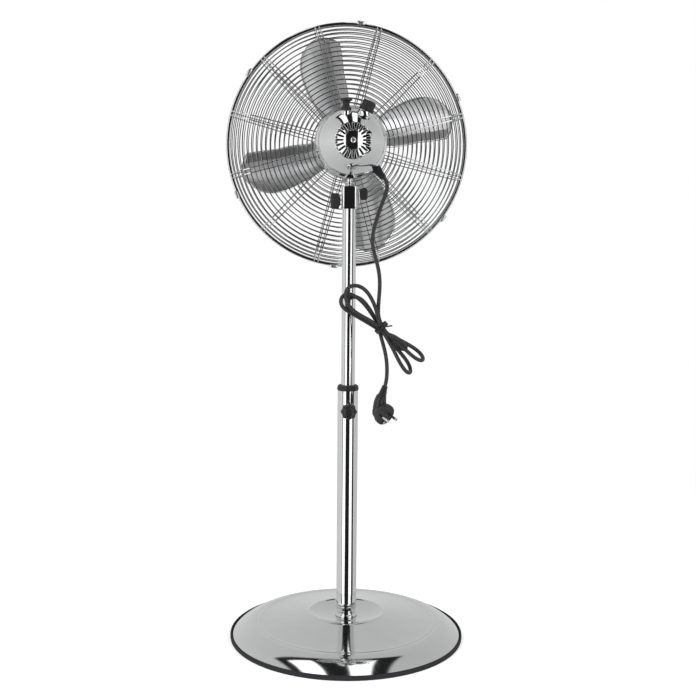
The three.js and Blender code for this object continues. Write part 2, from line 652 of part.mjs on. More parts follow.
function buildMotor(head) {
  addPiece(head, "stator", ringY(STATOR_RADIUS, STATOR_BORE + 1, STATOR_REAR, STATOR_FRONT), STEEL);
  const coil = (y0, y1) => {
    const middle = (y0 + y1) / 2;
    const [inside, outside] = [STATOR_BORE + 1.5, STATOR_RADIUS - 1.5];
    const crown = (inside + outside) / 2;
    return turnedY([[inside, y0], [crown, y0], [outside, middle], [crown, y1], [inside, y1]]);
  };
  const rearFace = REAR_BRACKET_Y + BRACKET_THICKNESS;
  addPiece(head, "winding_rear", coil(rearFace + 1, STATOR_REAR - GAP), COPPER);
  addPiece(head, "winding_front", coil(STATOR_FRONT + GAP, FRONT_BRACKET_Y - 1), COPPER);

  const bracket = (y) => ringY(STATOR_RADIUS, BEARING_RADIUS + GAP, y, y + BRACKET_THICKNESS);
  addPiece(head, "rear_bracket", bracket(REAR_BRACKET_Y), SATIN);
  addPiece(head, "front_bracket", bracket(FRONT_BRACKET_Y), SATIN);
  const seat = BRACKET_THICKNESS - GAP;
  const bearing = (y) => ringY(BEARING_RADIUS, SHAFT_RADIUS + GAP, y + GAP, y + seat, 20);
  addPiece(head, "rear_bearing", bearing(REAR_BRACKET_Y), BRASS);
  addPiece(head, "front_bearing", bearing(FRONT_BRACKET_Y), BRASS);

  // The hanger joins both brackets under the stator and carries the boss that turns on the stem.
  const top = -STATOR_RADIUS - GAP;
  const strap = block([-8.5, REAR_BRACKET_Y, top - 2.5], [8.5, FRONT_BRACKET_Y + BRACKET_THICKNESS, top]);
  const bossFoot = LINK_TOP + GAP;
  const boss = bar(at(0, 0, bossFoot), at(0, 0, top), 7.4, 7.4, 20);
  const bore = bar(at(0, 0, bossFoot - 5), at(0, 0, top + 5), STEM_TIP_RADIUS + GAP);
  addPiece(head, "swivel_boss", strap.add(boss).subtract(bore), IRON);

  addPiece(head, "rotor", ringY(STATOR_BORE, SHAFT_RADIUS + GAP, STATOR_REAR, STATOR_FRONT), STEEL);
  const worm = [];
  for (let y = KNOB_Y - 6; y < KNOB_Y + 6; y += 3) {
    worm.push([WORM_RADIUS - 0.8, y], [WORM_RADIUS, y + 1.5]);
  }
  const shaft = [
    [0, SHAFT_REAR],
    [2, SHAFT_REAR],
    ...worm,
    [WORM_RADIUS - 0.8, KNOB_Y + 8],
    [SHAFT_RADIUS, KNOB_Y + 11],
    [SHAFT_RADIUS, SHAFT_FRONT],
    [0, SHAFT_FRONT],
  ];
  addPiece(head, "motor_shaft", turnedY(shaft, 16, false), STEEL);
}

function buildGearbox(head) {
  const { axis, crankPin, linkEnd } = linkage();
  const wheelRadius = Math.abs(axis.x) - WORM_RADIUS - GAP;
  const outer = block([axis.x - wheelRadius - 3, axis.y - 11, -8], [7.5, REAR_BRACKET_Y - GAP, 9]);
  const cavity = block([axis.x - wheelRadius - 1.2, axis.y - 9, -6], [5.5, REAR_BRACKET_Y - 4, 7]);
  const shaftHole = ringY(SHAFT_RADIUS + 1, 0, -100, 0, 16);
  const pushHole = bar(at(axis.x, axis.y, -20), at(axis.x, axis.y, 20), 2 + GAP);
  addPiece(head, "gearbox", outer.subtract(cavity).subtract(shaftHole).subtract(pushHole), IRON);

  const teeth = lobedGrip(wheelRadius, 14, 0.9, -3, 3).rotate([90, 0, 0]).translate([axis.x, axis.y, 0]);
  const wheelBore = bar(at(axis.x, axis.y, -9), at(axis.x, axis.y, 9), 2 + GAP);
  addPiece(head, "worm_wheel", teeth.subtract(wheelBore), BRASS);

  const foot = LINK_TOP - LINK_THICKNESS;
  const discFoot = LINK_TOP + GAP;
  const discRadius = crankPin.distanceTo(axis) + 1.9;
  const overAxis = (z) => at(axis.x, axis.y, z);
  const overPin = (z) => at(crankPin.x, crankPin.y, z);
  const crank = joined([
    bar(overAxis(discFoot), overAxis(discFoot + 2.6), discRadius, discRadius, 24),
    bar(overAxis(discFoot), overAxis(6), 2, 2, 16),
    bar(overPin(foot - GAP), overPin(discFoot + 1), 1.5, 1.5, 16),
  ]);
  addPiece(head, "crank", crank, STEEL);

  const [from, to] = [at(crankPin.x, crankPin.y, foot), at(linkEnd.x, linkEnd.y, foot)];
  const link = joined([
    spanBar(from, to, 3, LINK_THICKNESS),
    bar(from, from.clone().setZ(LINK_TOP), 2.6, 2.6, 16),
    bar(to, to.clone().setZ(LINK_TOP), 2.6, 2.6, 16),
  ]);
  const eye = bar(overPin(foot - 2), overPin(LINK_TOP + 2), 1.5 + GAP, 1.5 + GAP, 16);
  addPiece(head, "link_bar", link.subtract(eye), STEEL);
}

// ---- Guard ----

// The line of the rear guard's wires, as [radius, y], from hub to rim.
const REAR_LINE = [[42, 36], [188, 54], [206, 67], [212, 88]];
const FRONT_LINE = [[42, BADGE_REAR - 2], [188, 129], [206, 119], [212, 106]];

// The place along a line where it passes a radius.
function lineAt(line, radius) {
  for (let i = 1; i < line.length; i += 1) {
    const [r0, y0] = line[i - 1];
    const [r1, y1] = line[i];
    if (radius <= r1) return y0 + ((y1 - y0) * (radius - r0)) / (r1 - r0);
  }
  return line[line.length - 1][1];
}

function wireRing(radius, y, wire) {
  const section = [];
  for (let i = 0; i < 3; i += 1) {
    const angle = ((2 * Math.PI) / 3) * i;
    section.push([radius + wire * Math.cos(angle), y + wire * Math.sin(angle)]);
  }
  return turnedY(section, GUARD_SEGMENTS);
}

function guardCage(line, rimY, hubY0, hubY1) {
  const pieces = GUARD_RINGS.map((radius) => wireRing(radius, lineAt(line, radius), GUARD_WIRE));
  const rimRadius = GUARD_RADIUS - RIM_WALL - GAP - RIM_WIRE;
  pieces.push(wireRing(rimRadius, rimY, RIM_WIRE));
  pieces.push(ringY(GUARD_HUB_RADIUS, COLLAR_RADIUS + 0.6, hubY0, hubY1, GUARD_SEGMENTS));
  const path = line.slice(0, -1).map(([r, y]) => at(r, y, 0));
  path.push(at(rimRadius, rimY, 0));
  for (let k = 0; k < SPOKES; k += 1) {
    const turn = 15 + (360 * k) / SPOKES;
    pieces.push(spoke(path).rotate([0, -turn, 0]));
  }
  return joined(pieces);
}

// A flat radial rib that follows the guard's line.
function spoke(path) {
  const half = 1.6;
  const sides = [[], []];
  path.forEach((point, i) => {
    const before = path[Math.max(i - 1, 0)];
    const after = path[Math.min(i + 1, path.length - 1)];
    const along = new THREE.Vector2(after.x - before.x, after.y - before.y).normalize();
    sides[0].push(new THREE.Vector2(point.x + half * along.y, point.y - half * along.x));
    sides[1].unshift(new THREE.Vector2(point.x - half * along.y, point.y + half * along.x));
  });
  const shape = new THREE.Shape(sides.flat());
  const geometry = new THREE.ExtrudeGeometry(shape, { depth: 2 * half, bevelEnabled: false });
  return solid(geometry.translate(0, 0, -half));
}

function buildGuards(head) {
  const half = RIM_WIDTH / 2;
  const [rear, front] = [RIM_Y - half, RIM_Y + half];
  const seat = SHELL_FRONT + 6;
  const rearCage = guardCage(REAR_LINE, rear + RIM_WIRE, SHELL_FRONT + GAP, seat);
  addPiece(head, "rear_guard", rearCage, CHROME);
  const frontCage = guardCage(FRONT_LINE, front - RIM_WIRE, BADGE_REAR - 3, BADGE_REAR);
  addPiece(head, "front_guard", frontCage, CHROME);
  const band = ringY(GUARD_RADIUS, GUARD_RADIUS - RIM_WALL, rear, front, 2 * GUARD_SEGMENTS);
  addPiece(head, "guard_rim", band, CHROME);

  const nutRear = seat + GAP;
  const nut = lobedGrip(38, 12, 2, nutRear, nutRear + 8);
  const bore = ringY(COLLAR_RADIUS + GAP, 0, nutRear - 5, nutRear + 15);
  addPiece(head, "guard_nut", nut.subtract(bore), BLACK);

  const badgeFoot = BADGE_REAR + GAP;
  const badge = [
    [0, badgeFoot],
    [BADGE_RADIUS, badgeFoot],
    [BADGE_RADIUS, BADGE_REAR + 2],
    [BADGE_RADIUS - 7, BADGE_REAR + 5],
    [0, BADGE_REAR + 7],
  ];
  addPiece(head, "front_badge", turnedY(badge, 32, false), CHROME);

  // Each clip hooks over the band's rear edge and swings on its front edge.
  for (let k = 0; k < CLIPS; k += 1) {
    const shape = new THREE.Shape();
    const [near, far] = [GUARD_RADIUS + GAP, GUARD_RADIUS + 3.2];
    const hook = rear - GAP;
    shape.moveTo(near, front - 1);
    shape.lineTo(near, hook);
    shape.lineTo(near - 2.2, hook);
    shape.lineTo(near - 2.2, hook - 2.4);
    shape.lineTo(far + 1.6, hook - 2.4);
    shape.lineTo(far, hook + 3);
    shape.lineTo(far, front - 1);
    shape.closePath();
    const geometry = new THREE.ExtrudeGeometry(shape, { depth: 14, bevelEnabled: false });
    const clip = solid(geometry.translate(0, 0, -7));
    const turn = THREE.MathUtils.radToDeg(CLIP_START) + (360 * k) / CLIPS;
    addPiece(head, `guard_clip_${k + 1}`, clip.rotate([0, -turn, 0]), SATIN);
  }
}

// ---- Blades ----

// One blade's outline, lying along +X: a nearly straight leading edge and a full, bulging trailing edge.
function bladeShape() {
  const polar = (radius, degrees) => {
    const angle = THREE.MathUtils.degToRad(degrees);
    return new THREE.Vector2(radius * Math.cos(angle), radius * Math.sin(angle));
  };
  const edge = new THREE.SplineCurve([
    polar(HUB_RADIUS - 4, -34),
    polar(70, -17),
    polar(125, -12),
    polar(178, -10.5),
    polar(BLADE_TIP, -5),
    polar(BLADE_TIP - 2, 3),
    polar(178, 12),
    polar(145, 20),
    polar(105, 25),
    polar(65, 29),
    polar(HUB_RADIUS - 4, 36),
  ]);
  return new THREE.Shape(edge.getPoints(24));
}

function buildBlades(head) {
  const hub = turnedY(
    [
      [0, HUB_REAR],
      [HUB_RADIUS, HUB_REAR],
      [HUB_RADIUS, HUB_FRONT - 5],
      [HUB_RADIUS - 5, HUB_FRONT],
      [0, HUB_FRONT],
    ],
    28,
    false,
  );
  const pieces = [hub];
  for (let k = 0; k < BLADES; k += 1) {
    const pitch = THREE.MathUtils.radToDeg(BLADE_PITCH);
    const turn = THREE.MathUtils.radToDeg(BLADE_START) + (360 * k) / BLADES;
    const blade = plate(bladeShape(), -BLADE_THICKNESS / 2, BLADE_THICKNESS / 2);
    pieces.push(blade.rotate([pitch, 0, 0]).rotate([0, -turn, 0]).translate([0, BLADE_Y, 0]));
  }
  const bore = ringY(SHAFT_RADIUS + GAP, 0, HUB_REAR - 20, HUB_FRONT + 20, 16);
  addPiece(head, "fan_blade", joined(pieces).subtract(bore), SATIN);

  const nut = [
    [SHAFT_RADIUS + GAP, HUB_FRONT + GAP],
    [15, HUB_FRONT + GAP],
    [14, HUB_FRONT + 8],
    [9, HUB_FRONT + 17],
    [0, HUB_FRONT + 18],
    [0, SHAFT_FRONT + GAP],
    [SHAFT_RADIUS + GAP, SHAFT_FRONT + GAP],
  ];
  addPiece(head, "blade_nut", turnedY(nut, 20), BLACK);
}

// ---- Mains lead ----

// The strain relief points down, to the right and to the rear from the seam of the housing.
const glandFoot = at(0.6876 * DOME_RADIUS, -27, MOTOR_Z - 0.6975 * DOME_RADIUS);
const glandWay = at(0.5, -0.62, -0.6).normalize();
const glandEnd = glandFoot.clone().addScaledVector(glandWay, GLAND_LENGTH);

// From the strain relief down to the bundle.
const DROP_ROUTE = [
  at(60.4, -57.6, 799),
  at(57.6, -63, 788),
  at(52.4, -68.4, 775),
  at(46, -73.5, 759),
  at(40.8, -77, 743),
  at(36.6, -79, 727),
  at(34.2, -80, 711),
  at(36.4, -80, 694),
  at(41.4, -80, 677),
  at(45.6, -80, 660),
  at(47.6, -80, 643),
  at(47.4, -80, 627),
  at(46.2, -80, 611),
  at(45.4, -80, 597),
  at(47, -80, 583),
  at(49, -80, 570),
];
// From the bundle down to the plug.
const TAIL_ROUTE = [
  at(49, -80, 562),
  at(50.6, -80, 552),
  at(54.6, -80, 537),
  at(58.8, -80, 521),
  at(61.2, -80, 505),
  at(61.6, -80, 489),
  at(60.9, -80, 474),
];
const plugTop = at(58.6, -80, 466);
const plugNeck = at(52.8, -80, 446);
const plugCentre = at(53, -78, 421);
const plugWay = at(0.56, -0.74, -0.37).normalize();

// The bundle's outline in its own plane, widened by `grow`: two lobes with a waist under the tie.
function hankShape(grow) {
  const length = HANK_HALF_LENGTH + grow;
  const width = HANK_HALF_WIDTH + grow;
  const waist = HANK_WAIST + grow;
  const shape = new THREE.Shape();
  shape.moveTo(-length, 0);
  shape.bezierCurveTo(-length, width * 0.8, -length + 16, width, -length + 34, width);
  shape.bezierCurveTo(-length + 62, width, -30, waist, -8, waist);
  shape.lineTo(8, waist);
  shape.bezierCurveTo(30, waist, length - 60, width * 0.9, length - 28, width * 0.9);
  shape.bezierCurveTo(length - 10, width * 0.9, length, width * 0.7, length, 0);
  shape.bezierCurveTo(length, -width * 0.7, length - 10, -width * 0.9, length - 28, -width * 0.9);
  shape.bezierCurveTo(length - 60, -width * 0.9, 30, -waist, 8, -waist);
  shape.lineTo(-8, -waist);
  shape.bezierCurveTo(-30, -waist, -length + 62, -width, -length + 34, -width);
  shape.bezierCurveTo(-length + 16, -width, -length, -width * 0.8, -length, 0);
  return shape;
}

function hankSolid(grow) {
  const half = HANK_THICKNESS / 2 + grow;
  const degrees = THREE.MathUtils.radToDeg(HANK_ANGLE);
  return plate(hankShape(grow), -half, half, 7).rotate([0, -degrees, 0]).translate(HANK_CENTRE.toArray());
}

function buildLead() {
  const lead = new THREE.Group();
  const root = glandFoot.clone().addScaledVector(glandWay, -8);
  const shell = ringY(SHELL_RADIUS + GAP, 0, DOME_FRONT - 1, SHELL_FRONT, DOME_SEGMENTS);
  const housing = domeSolid(-GAP, DOME_FRONT).add(shell).translate([0, 0, MOTOR_Z]);
  const collar = glandFoot.clone().addScaledVector(glandWay, 3);
  const boot = bar(root, glandEnd, 7.6, 4.6, 20);
  const flange = bar(root, collar, 9.5, 9.5, 20);
  addPiece(lead, "cord_gland", boot.add(flange).subtract(housing), BLACK);

  const exit = [1.2, 8].map((distance) => glandEnd.clone().addScaledVector(glandWay, distance));
  const dropCurve = new THREE.CatmullRomCurve3([...exit, ...DROP_ROUTE]);
  const grown = hankSolid(GAP);
  addPiece(lead, "cord_drop", tube(dropCurve, CORD_RADIUS, CORD_SIDES, 20).subtract(grown), BLACK);
  addPiece(lead, "cord_hank", hankSolid(0), BLACK);
  const plugGap = plugTop.clone().add(at(0.28, 0, 0.96).multiplyScalar(2 * GAP));
  const tailCurve = new THREE.CatmullRomCurve3([...TAIL_ROUTE, plugGap]);
  addPiece(lead, "cord_tail", tube(tailCurve, CORD_RADIUS, CORD_SIDES, 8).subtract(grown), BLACK);

  const reach = HANK_WAIST + GAP;
  const depth = HANK_THICKNESS / 2 + GAP;
  const half = TIE_WIDTH / 2;
  const outside = [half, depth + TIE_WALL, reach + TIE_WALL];
  const wrap = block(outside.map((value) => -value), outside);
  const space = block([-half - 1, -depth, -reach], [half + 1, depth, reach]);
  const degrees = THREE.MathUtils.radToDeg(HANK_ANGLE);
  const tie = wrap.subtract(space).rotate([0, -degrees, 0]).translate(HANK_CENTRE.toArray());
  addPiece(lead, "cord_tie", tie, BLACK);

  buildPlug(lead);
  return lead;
}

function buildPlug(lead) {
  const face = plugCentre.clone().addScaledVector(plugWay, 12);
  const back = plugCentre.clone().addScaledVector(plugWay, -10);
  const body = joined([
    bar(plugTop, plugNeck, 4.8, 7.2, 20),
    bar(plugNeck, plugCentre, 8.5, 12, 20),
    bar(plugNeck.clone().add(at(0, 0, 1)), back, 8, 13, 20),
    bar(back, face, 14, PLUG_RADIUS, 32),
  ]);
  addPiece(lead, "plug_body", body, BLACK);
  const across = new THREE.Vector3().crossVectors(plugWay, at(0, 0, 1)).normalize();
  [-1, 1].forEach((side, index) => {
    const start = face.clone().addScaledVector(across, 9.5 * side).addScaledVector(plugWay, GAP);
    const end = start.clone().addScaledVector(plugWay, 19);
    addPiece(lead, `plug_pin_${index + 1}`, bar(start, end, 2.4, 2.2, 16), CHROME);
  });
  const up = new THREE.Vector3().crossVectors(across, plugWay).normalize();
  const from = face.clone().addScaledVector(up, -14).addScaledVector(plugWay, GAP);
  addPiece(lead, "plug_earth", bar(from, from.clone().addScaledVector(plugWay, 2), 2.6, 2.2, 12), STEEL);
}

// ---- The fan ----

const fan = new THREE.Group();
fan.name = "pedestal_fan";
const head = new THREE.Group();
head.position.z = MOTOR_Z;
buildHousing(head);
buildControls(head);
buildMotor(head);
buildGearbox(head);
buildGuards(head);
buildBlades(head);
fan.add(buildBase(), buildOuterPole(), buildInnerPole(), buildNeck(), head, buildLead());

export default fan;
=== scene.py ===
"""Looks of a chrome pedestal fan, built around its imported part.

Sizes in the classes are millimetres and angles are degrees; meshes are made in metres.
The pole stands on the Z axis, the air blows towards +Y, and the knobs and lead face -Y.
"""

import logging
import math
from dataclasses import dataclass, field
from enum import Enum
from typing import Callable, Iterable, Mapping, Sequence, Union

import bmesh
import bpy
from mathutils import Matrix, Vector


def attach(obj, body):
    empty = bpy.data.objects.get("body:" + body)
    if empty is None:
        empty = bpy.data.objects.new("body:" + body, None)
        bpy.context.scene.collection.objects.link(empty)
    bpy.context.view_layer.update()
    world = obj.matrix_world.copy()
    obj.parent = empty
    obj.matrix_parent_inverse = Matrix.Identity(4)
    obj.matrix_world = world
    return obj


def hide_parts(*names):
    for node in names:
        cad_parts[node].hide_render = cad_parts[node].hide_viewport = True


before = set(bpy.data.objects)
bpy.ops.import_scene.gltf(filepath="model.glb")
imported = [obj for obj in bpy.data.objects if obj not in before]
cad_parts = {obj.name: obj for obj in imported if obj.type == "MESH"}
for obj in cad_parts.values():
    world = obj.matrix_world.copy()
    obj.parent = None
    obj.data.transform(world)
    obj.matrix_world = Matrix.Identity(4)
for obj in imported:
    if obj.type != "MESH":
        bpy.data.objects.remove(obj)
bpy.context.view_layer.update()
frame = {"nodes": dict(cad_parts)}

LOG = logging.getLogger("pedestal_fan")
METRE = 0.001
Z = Vector((0, 0, 1))
Colour = tuple[float, float, float]
Corner = Sequence[float]
Wave = Callable[[float, float, float], float]


# ---- Shader maths ----


class Wire:
    """An output of a node, with the arithmetic that adds Math nodes."""

    def __init__(self, graph: "Graph", socket: bpy.types.NodeSocket) -> None:
        """Keeps the output and the graph that it is in."""
        self.graph = graph
        self.socket = socket

    def maths(self, operation: str, other: "Term", swapped: bool = False) -> "Wire":
        """Adds a Math node on this output and another value.

        Args:
            operation: the Math node's operation.
            other: the second value, or the first when swapped.
            swapped: whether the other value comes first.

        Returns:
            The node's result.
        """
        pair = (other, self) if swapped else (self, other)
        return self.graph.node(
            "ShaderNodeMath", {"operation": operation}, {0: pair[0], 1: pair[1]}
        )

    def __add__(self, other: "Term") -> "Wire":
        """The sum."""
        return self.maths("ADD", other)

    __radd__ = __add__

    def __sub__(self, other: "Term") -> "Wire":
        """The difference."""
        return self.maths("SUBTRACT", other)

    def __rsub__(self, other: "Term") -> "Wire":
        """The difference from another value."""
        return self.maths("SUBTRACT", other, swapped=True)

    def __mul__(self, other: "Term") -> "Wire":
        """The product."""
        return self.maths("MULTIPLY", other)

    __rmul__ = __mul__

    def __truediv__(self, other: "Term") -> "Wire":
        """The ratio."""
        return self.maths("DIVIDE", other)

    def __pow__(self, other: "Term") -> "Wire":
        """The power."""
        return self.maths("POWER", other)


Term = Union[Wire, float]


class Graph:
    """A node tree that is filled from Python expressions."""

    def __init__(self, tree: bpy.types.NodeTree) -> None:
        """Takes the tree and empties it."""
        self.tree = tree
        tree.nodes.clear()

    def node(
        self,
        kind: str,
        settings: Mapping[str, object] | None = None,
        inputs: Mapping[object, object] | None = None,
        output: object = 0,
    ) -> Wire:
        """Adds one node.

        Args:
            kind: the node's type.
            settings: its properties, and a ramp's stops as (place, colour) pairs.
            inputs: values or outputs for its sockets, by name or number.
            output: the name or number of the output that is wanted.

        Returns:
            That output.
        """
        made = self.tree.nodes.new(kind)
        for name, value in (settings or {}).items():
            if name == "stops":
                self._stops(made.color_ramp, value)
            else:
                setattr(made, name, value)
        for key, value in (inputs or {}).items():
            if isinstance(value, Wire):
                self.tree.links.new(value.socket, made.inputs[key])
            else:
                made.inputs[key].default_value = value
        return Wire(self, made.outputs[output] if made.outputs else None)

    @staticmethod
    def _stops(ramp: bpy.types.ColorRamp, stops: Sequence[tuple[float, Colour]]) -> None:
        """Sets a ramp's stops."""
        while len(ramp.elements) < len(stops):
            ramp.elements.new(1)
        for element, (place, colour) in zip(ramp.elements, stops):
            element.position = place
            element.color = (*colour, 1)

    def blend(self, share: Term, first: Colour, second: Colour) -> Wire:
        """Mixes two colours.

        Args:
            share: how much of the second there is.
            first: the colour at 0.
            second: the colour at 1.

        Returns:
            The mixed colour.
        """
        return self.node(
            "ShaderNodeMix",
            {"data_type": "RGBA", "clamp_factor": True},
            {0: share, 6: (*first, 1), 7: (*second, 1)},
            2,
        )

    def place(self, stretch: Corner = (1, 1, 1)) -> Wire:
        """The place on the piece in metres, stretched along each axis."""
        where = self.node("ShaderNodeTexCoord", output="Object")
        return self.node("ShaderNodeMapping", {}, {"Vector": where, "Scale": tuple(stretch)})

    def noise(self, where: Wire, scale: float, detail: float = 3.0) -> Wire:
        """Cloudy noise between 0 and 1 at a scale per metre."""
        sockets = {"Vector": where, "Scale": scale, "Detail": detail}
        return self.node("ShaderNodeTexNoise", {}, sockets)

    def between(self, value: Wire, low: float, high: float, soft: float) -> Wire:
        """One where a value lies between two limits, with soft edges.

        Args:
            value: the value that is tested.
            low: the lower limit.
            high: the upper limit.
            soft: the width of each edge.

        Returns:
            The mask.
        """
        clamp = {"operation": "MULTIPLY", "use_clamp": True}
        rise = self.node("ShaderNodeMath", clamp, {0: value - low, 1: 1 / soft})
        fall = self.node("ShaderNodeMath", clamp, {0: high - value, 1: 1 / soft})
        return rise * fall


# ---- Finishes ----


@dataclass(frozen=True)
class Finish:
    """A named surface finish."""

    name: str

    def material(self) -> bpy.types.Material:
        """The finish's material, which is made the first time."""
        found = bpy.data.materials.get(self.name)
        if found:
            return found
        made = bpy.data.materials.new(self.name)
        made.use_nodes = True
        graph = Graph(made.node_tree)
        surface = self.surface(graph)
        graph.node("ShaderNodeOutputMaterial", {}, {"Surface": surface})
        return made

    def surface(self, graph: Graph) -> Wire:
        """Builds the shader and returns it."""
        raise NotImplementedError


@dataclass(frozen=True)
class Metal(Finish):
    """Plated, brushed or bare metal."""

    colour: Colour = (0.80, 0.805, 0.81)
    dull: Colour = (0.70, 0.705, 0.71)
    roughness: float = 0.05
    smear: float = 0.03
    grain: float = 0.02
    scale: float = 30.0
    fine: float = 900.0
    stretch: tuple[float, float, float] = (1, 1, 1)
    spun: bool = False

    def surface(self, graph: Graph) -> Wire:
        """Metal whose dullness varies in clouds, with fine scratches or brushing."""
        where = graph.place(self.stretch)
        clouds = graph.noise(graph.place(), self.scale)
        if self.spun:
            split = graph.node("ShaderNodeSeparateXYZ", {}, {0: where})
            across = Wire(graph, split.socket.node.outputs["X"])
            upward = Wire(graph, split.socket.node.outputs["Z"])
            radius = (across * across + upward * upward) ** 0.5
            flat = graph.node("ShaderNodeCombineXYZ", {}, {"X": radius, "Y": 0.0, "Z": 0.0})
            lines = graph.noise(flat, self.fine, 4.0)
        else:
            lines = graph.noise(where, self.fine, 4.0)
        height = graph.node(
            "ShaderNodeBump",
            {},
            {"Strength": self.grain, "Distance": 0.0004, "Height": lines},
        )
        return graph.node(
            "ShaderNodeBsdfPrincipled",
            {},
            {
                "Base Color": graph.blend(clouds * 0.6 + lines * 0.4, self.dull, self.colour),
                "Metallic": 1.0,
                "Roughness": self.roughness + self.smear * (clouds + lines * 0.5),
                "Normal": height,
            },
        )


@dataclass(frozen=True)
class Moulded(Finish):
    """Moulded plastic or rubber, with a fine grain and a little dust on top."""

    colour: Colour = (0.012, 0.012, 0.013)
    dust: Colour = (0.05, 0.05, 0.052)
    roughness: float = 0.38
    grain: float = 0.25
    fine: float = 1400.0

    def surface(self, graph: Graph) -> Wire:
        """A dark moulding, duller and paler where dust settles."""
        where = graph.place()
        clouds = graph.noise(where, 60.0)
        pits = graph.noise(where, self.fine, 5.0)
        facing = graph.node("ShaderNodeNewGeometry", output="Normal")
        split = graph.node("ShaderNodeSeparateXYZ", {}, {0: facing}, "Z")
        settled = graph.between(split, 0.2, 1.8, 0.8) * clouds
        height = graph.node(
            "ShaderNodeBump",
            {},
            {"Strength": self.grain, "Distance": 0.0003, "Height": pits},
        )
        return graph.node(
            "ShaderNodeBsdfPrincipled",
            {},
            {
                "Base Color": graph.blend(settled * 0.6 + pits * 0.1, self.colour, self.dust),
                "Roughness": self.roughness + 0.18 * clouds + 0.15 * settled,
                "Normal": height,
            },
        )


@dataclass(frozen=True)
class Banded(Finish):
    """Layered metal: wound wire or stacked sheets."""

    colour: Colour = (0.62, 0.25, 0.11)
    groove: Colour = (0.18, 0.06, 0.03)
    roughness: float = 0.32
    metallic: float = 1.0
    direction: str = "Y"
    scale: float = 900.0

    def surface(self, graph: Graph) -> Wire:
        """Metal in narrow bands, dark in the grooves between them."""
        where = graph.place()
        settings = {"wave_type": "BANDS", "bands_direction": self.direction}
        sockets = {"Vector": where, "Scale": self.scale, "Distortion": 0.6, "Detail": 2.0}
        bands = graph.node("ShaderNodeTexWave", settings, sockets, 1)
        clouds = graph.noise(where, 120.0)
        height = graph.node(
            "ShaderNodeBump", {}, {"Strength": 0.6, "Distance": 0.0003, "Height": bands}
        )
        return graph.node(
            "ShaderNodeBsdfPrincipled",
            {},
            {
                "Base Color": graph.blend(bands * 0.7 + clouds * 0.3, self.groove, self.colour),
                "Metallic": self.metallic,
                "Roughness": self.roughness + 0.2 * clouds,
                "Normal": height,
            },
        )


@dataclass(frozen=True)
class Paper(Finish):
    """The pale studio floor, which fades out before its edge."""

    colour: Colour = (0.9, 0.9, 0.9)
    glow: float = 0.42
    inner: float = 0.75
    outer: float = 1.7

    def surface(self, graph: Graph) -> Wire:
        """Pale matt paper that turns clear with distance from the pole."""
        where = graph.place()
        distance = graph.node("ShaderNodeVectorMath", {"operation": "LENGTH"}, {0: where}, 1)
        shown = graph.node(
            "ShaderNodeMath",
            {"operation": "MULTIPLY", "use_clamp": True},
            {0: self.outer - distance, 1: 1 / (self.outer - self.inner)},
        )
        weave = graph.noise(where, 9.0)
        sheet = graph.node(
            "ShaderNodeBsdfPrincipled",
            {},
            {
                "Base Color": graph.blend(weave, self.colour, (0.93, 0.93, 0.93)),
                "Roughness": 0.85,
                "Specular IOR Level": 0.1,
                "Emission Color": (1, 1, 1, 1),
                "Emission Strength": self.glow,
            },
        )
        clear = graph.node("ShaderNodeBsdfTransparent")
        return graph.node("ShaderNodeMixShader", {}, {0: shown, 1: clear, 2: sheet})


CHROME = Metal("polished_chrome")
WIRE_CHROME = Metal("chromed_wire", roughness=0.07, fine=500.0)
BRUSHED = Metal(
    "satin_blade",
    colour=(0.5, 0.5, 0.505),
    dull=(0.42, 0.42, 0.425),
    roughness=0.24,
    smear=0.08,
    grain=0.12,
    fine=260.0,
    spun=True,
)
PRESSED = Metal("pressed_aluminium", colour=(0.7, 0.7, 0.7), roughness=0.25, grain=0.1)
SPUN = Metal("spun_badge", roughness=0.16, grain=0.2, fine=420.0, spun=True)
STEEL = Metal(
    "turned_steel", colour=(0.56, 0.57, 0.58), dull=(0.4, 0.4, 0.41), roughness=0.3, grain=0.15
)
BRASS = Metal(
    "cast_brass", colour=(0.72, 0.52, 0.22), dull=(0.5, 0.34, 0.13), roughness=0.3, grain=0.15
)
IRON = Metal(
    "cast_iron",
    colour=(0.13, 0.13, 0.135),
    dull=(0.06, 0.06, 0.062),
    roughness=0.6,
    smear=0.2,
    grain=0.6,
    fine=300.0,
)
PLASTIC = Moulded("black_moulding")
GLOSSY = Moulded("black_knob", roughness=0.24, grain=0.1)
RUBBER = Moulded(
    "black_rubber", colour=(0.016, 0.016, 0.016), roughness=0.55, grain=0.4, fine=900.0
)
SHEATH = Moulded(
    "cord_sheath", colour=(0.022, 0.022, 0.023), roughness=0.42, grain=0.15, fine=700.0
)
COPPER = Banded("copper_winding")
LAMINATED = Banded(
    "stacked_sheets", colour=(0.42, 0.42, 0.43), groove=(0.1, 0.1, 0.1), roughness=0.45
)
PAPER = Paper("studio_paper")


# ---- Meshes ----


class Axis(Enum):
    """The axis that a profile is turned about."""

    UP = "z"
    AHEAD = "y"


def unit(vector: Vector) -> Vector:
    """A vector's direction."""
    return vector.normalized()


def filleted(points: Sequence[Corner], steps: int = 4) -> list[tuple[float, float]]:
    """Rounds the corners of an open profile.

    Args:
        points: (radius, height) pairs, with the fillet's reach third where there is one.
        steps: points along each fillet.

    Returns:
        The rounded profile.
    """
    made: list[tuple[float, float]] = []
    for i, point in enumerate(points):
        here = Vector((point[0], point[1]))
        reach = point[2] if len(point) > 2 else 0
        if not reach or i in (0, len(points) - 1):
            made.append((here.x, here.y))
            continue
        ends = []
        for other in (points[i - 1], points[i + 1]):
            side = Vector((other[0], other[1])) - here
            ends.append(here + side * min(0.5, reach / max(side.length, 1e-6)))
        for k in range(steps + 1):
            t = k / steps
            spot = ends[0] * (1 - t) ** 2 + here * 2 * t * (1 - t) + ends[1] * t * t
            made.append((spot.x, spot.y))
    return made


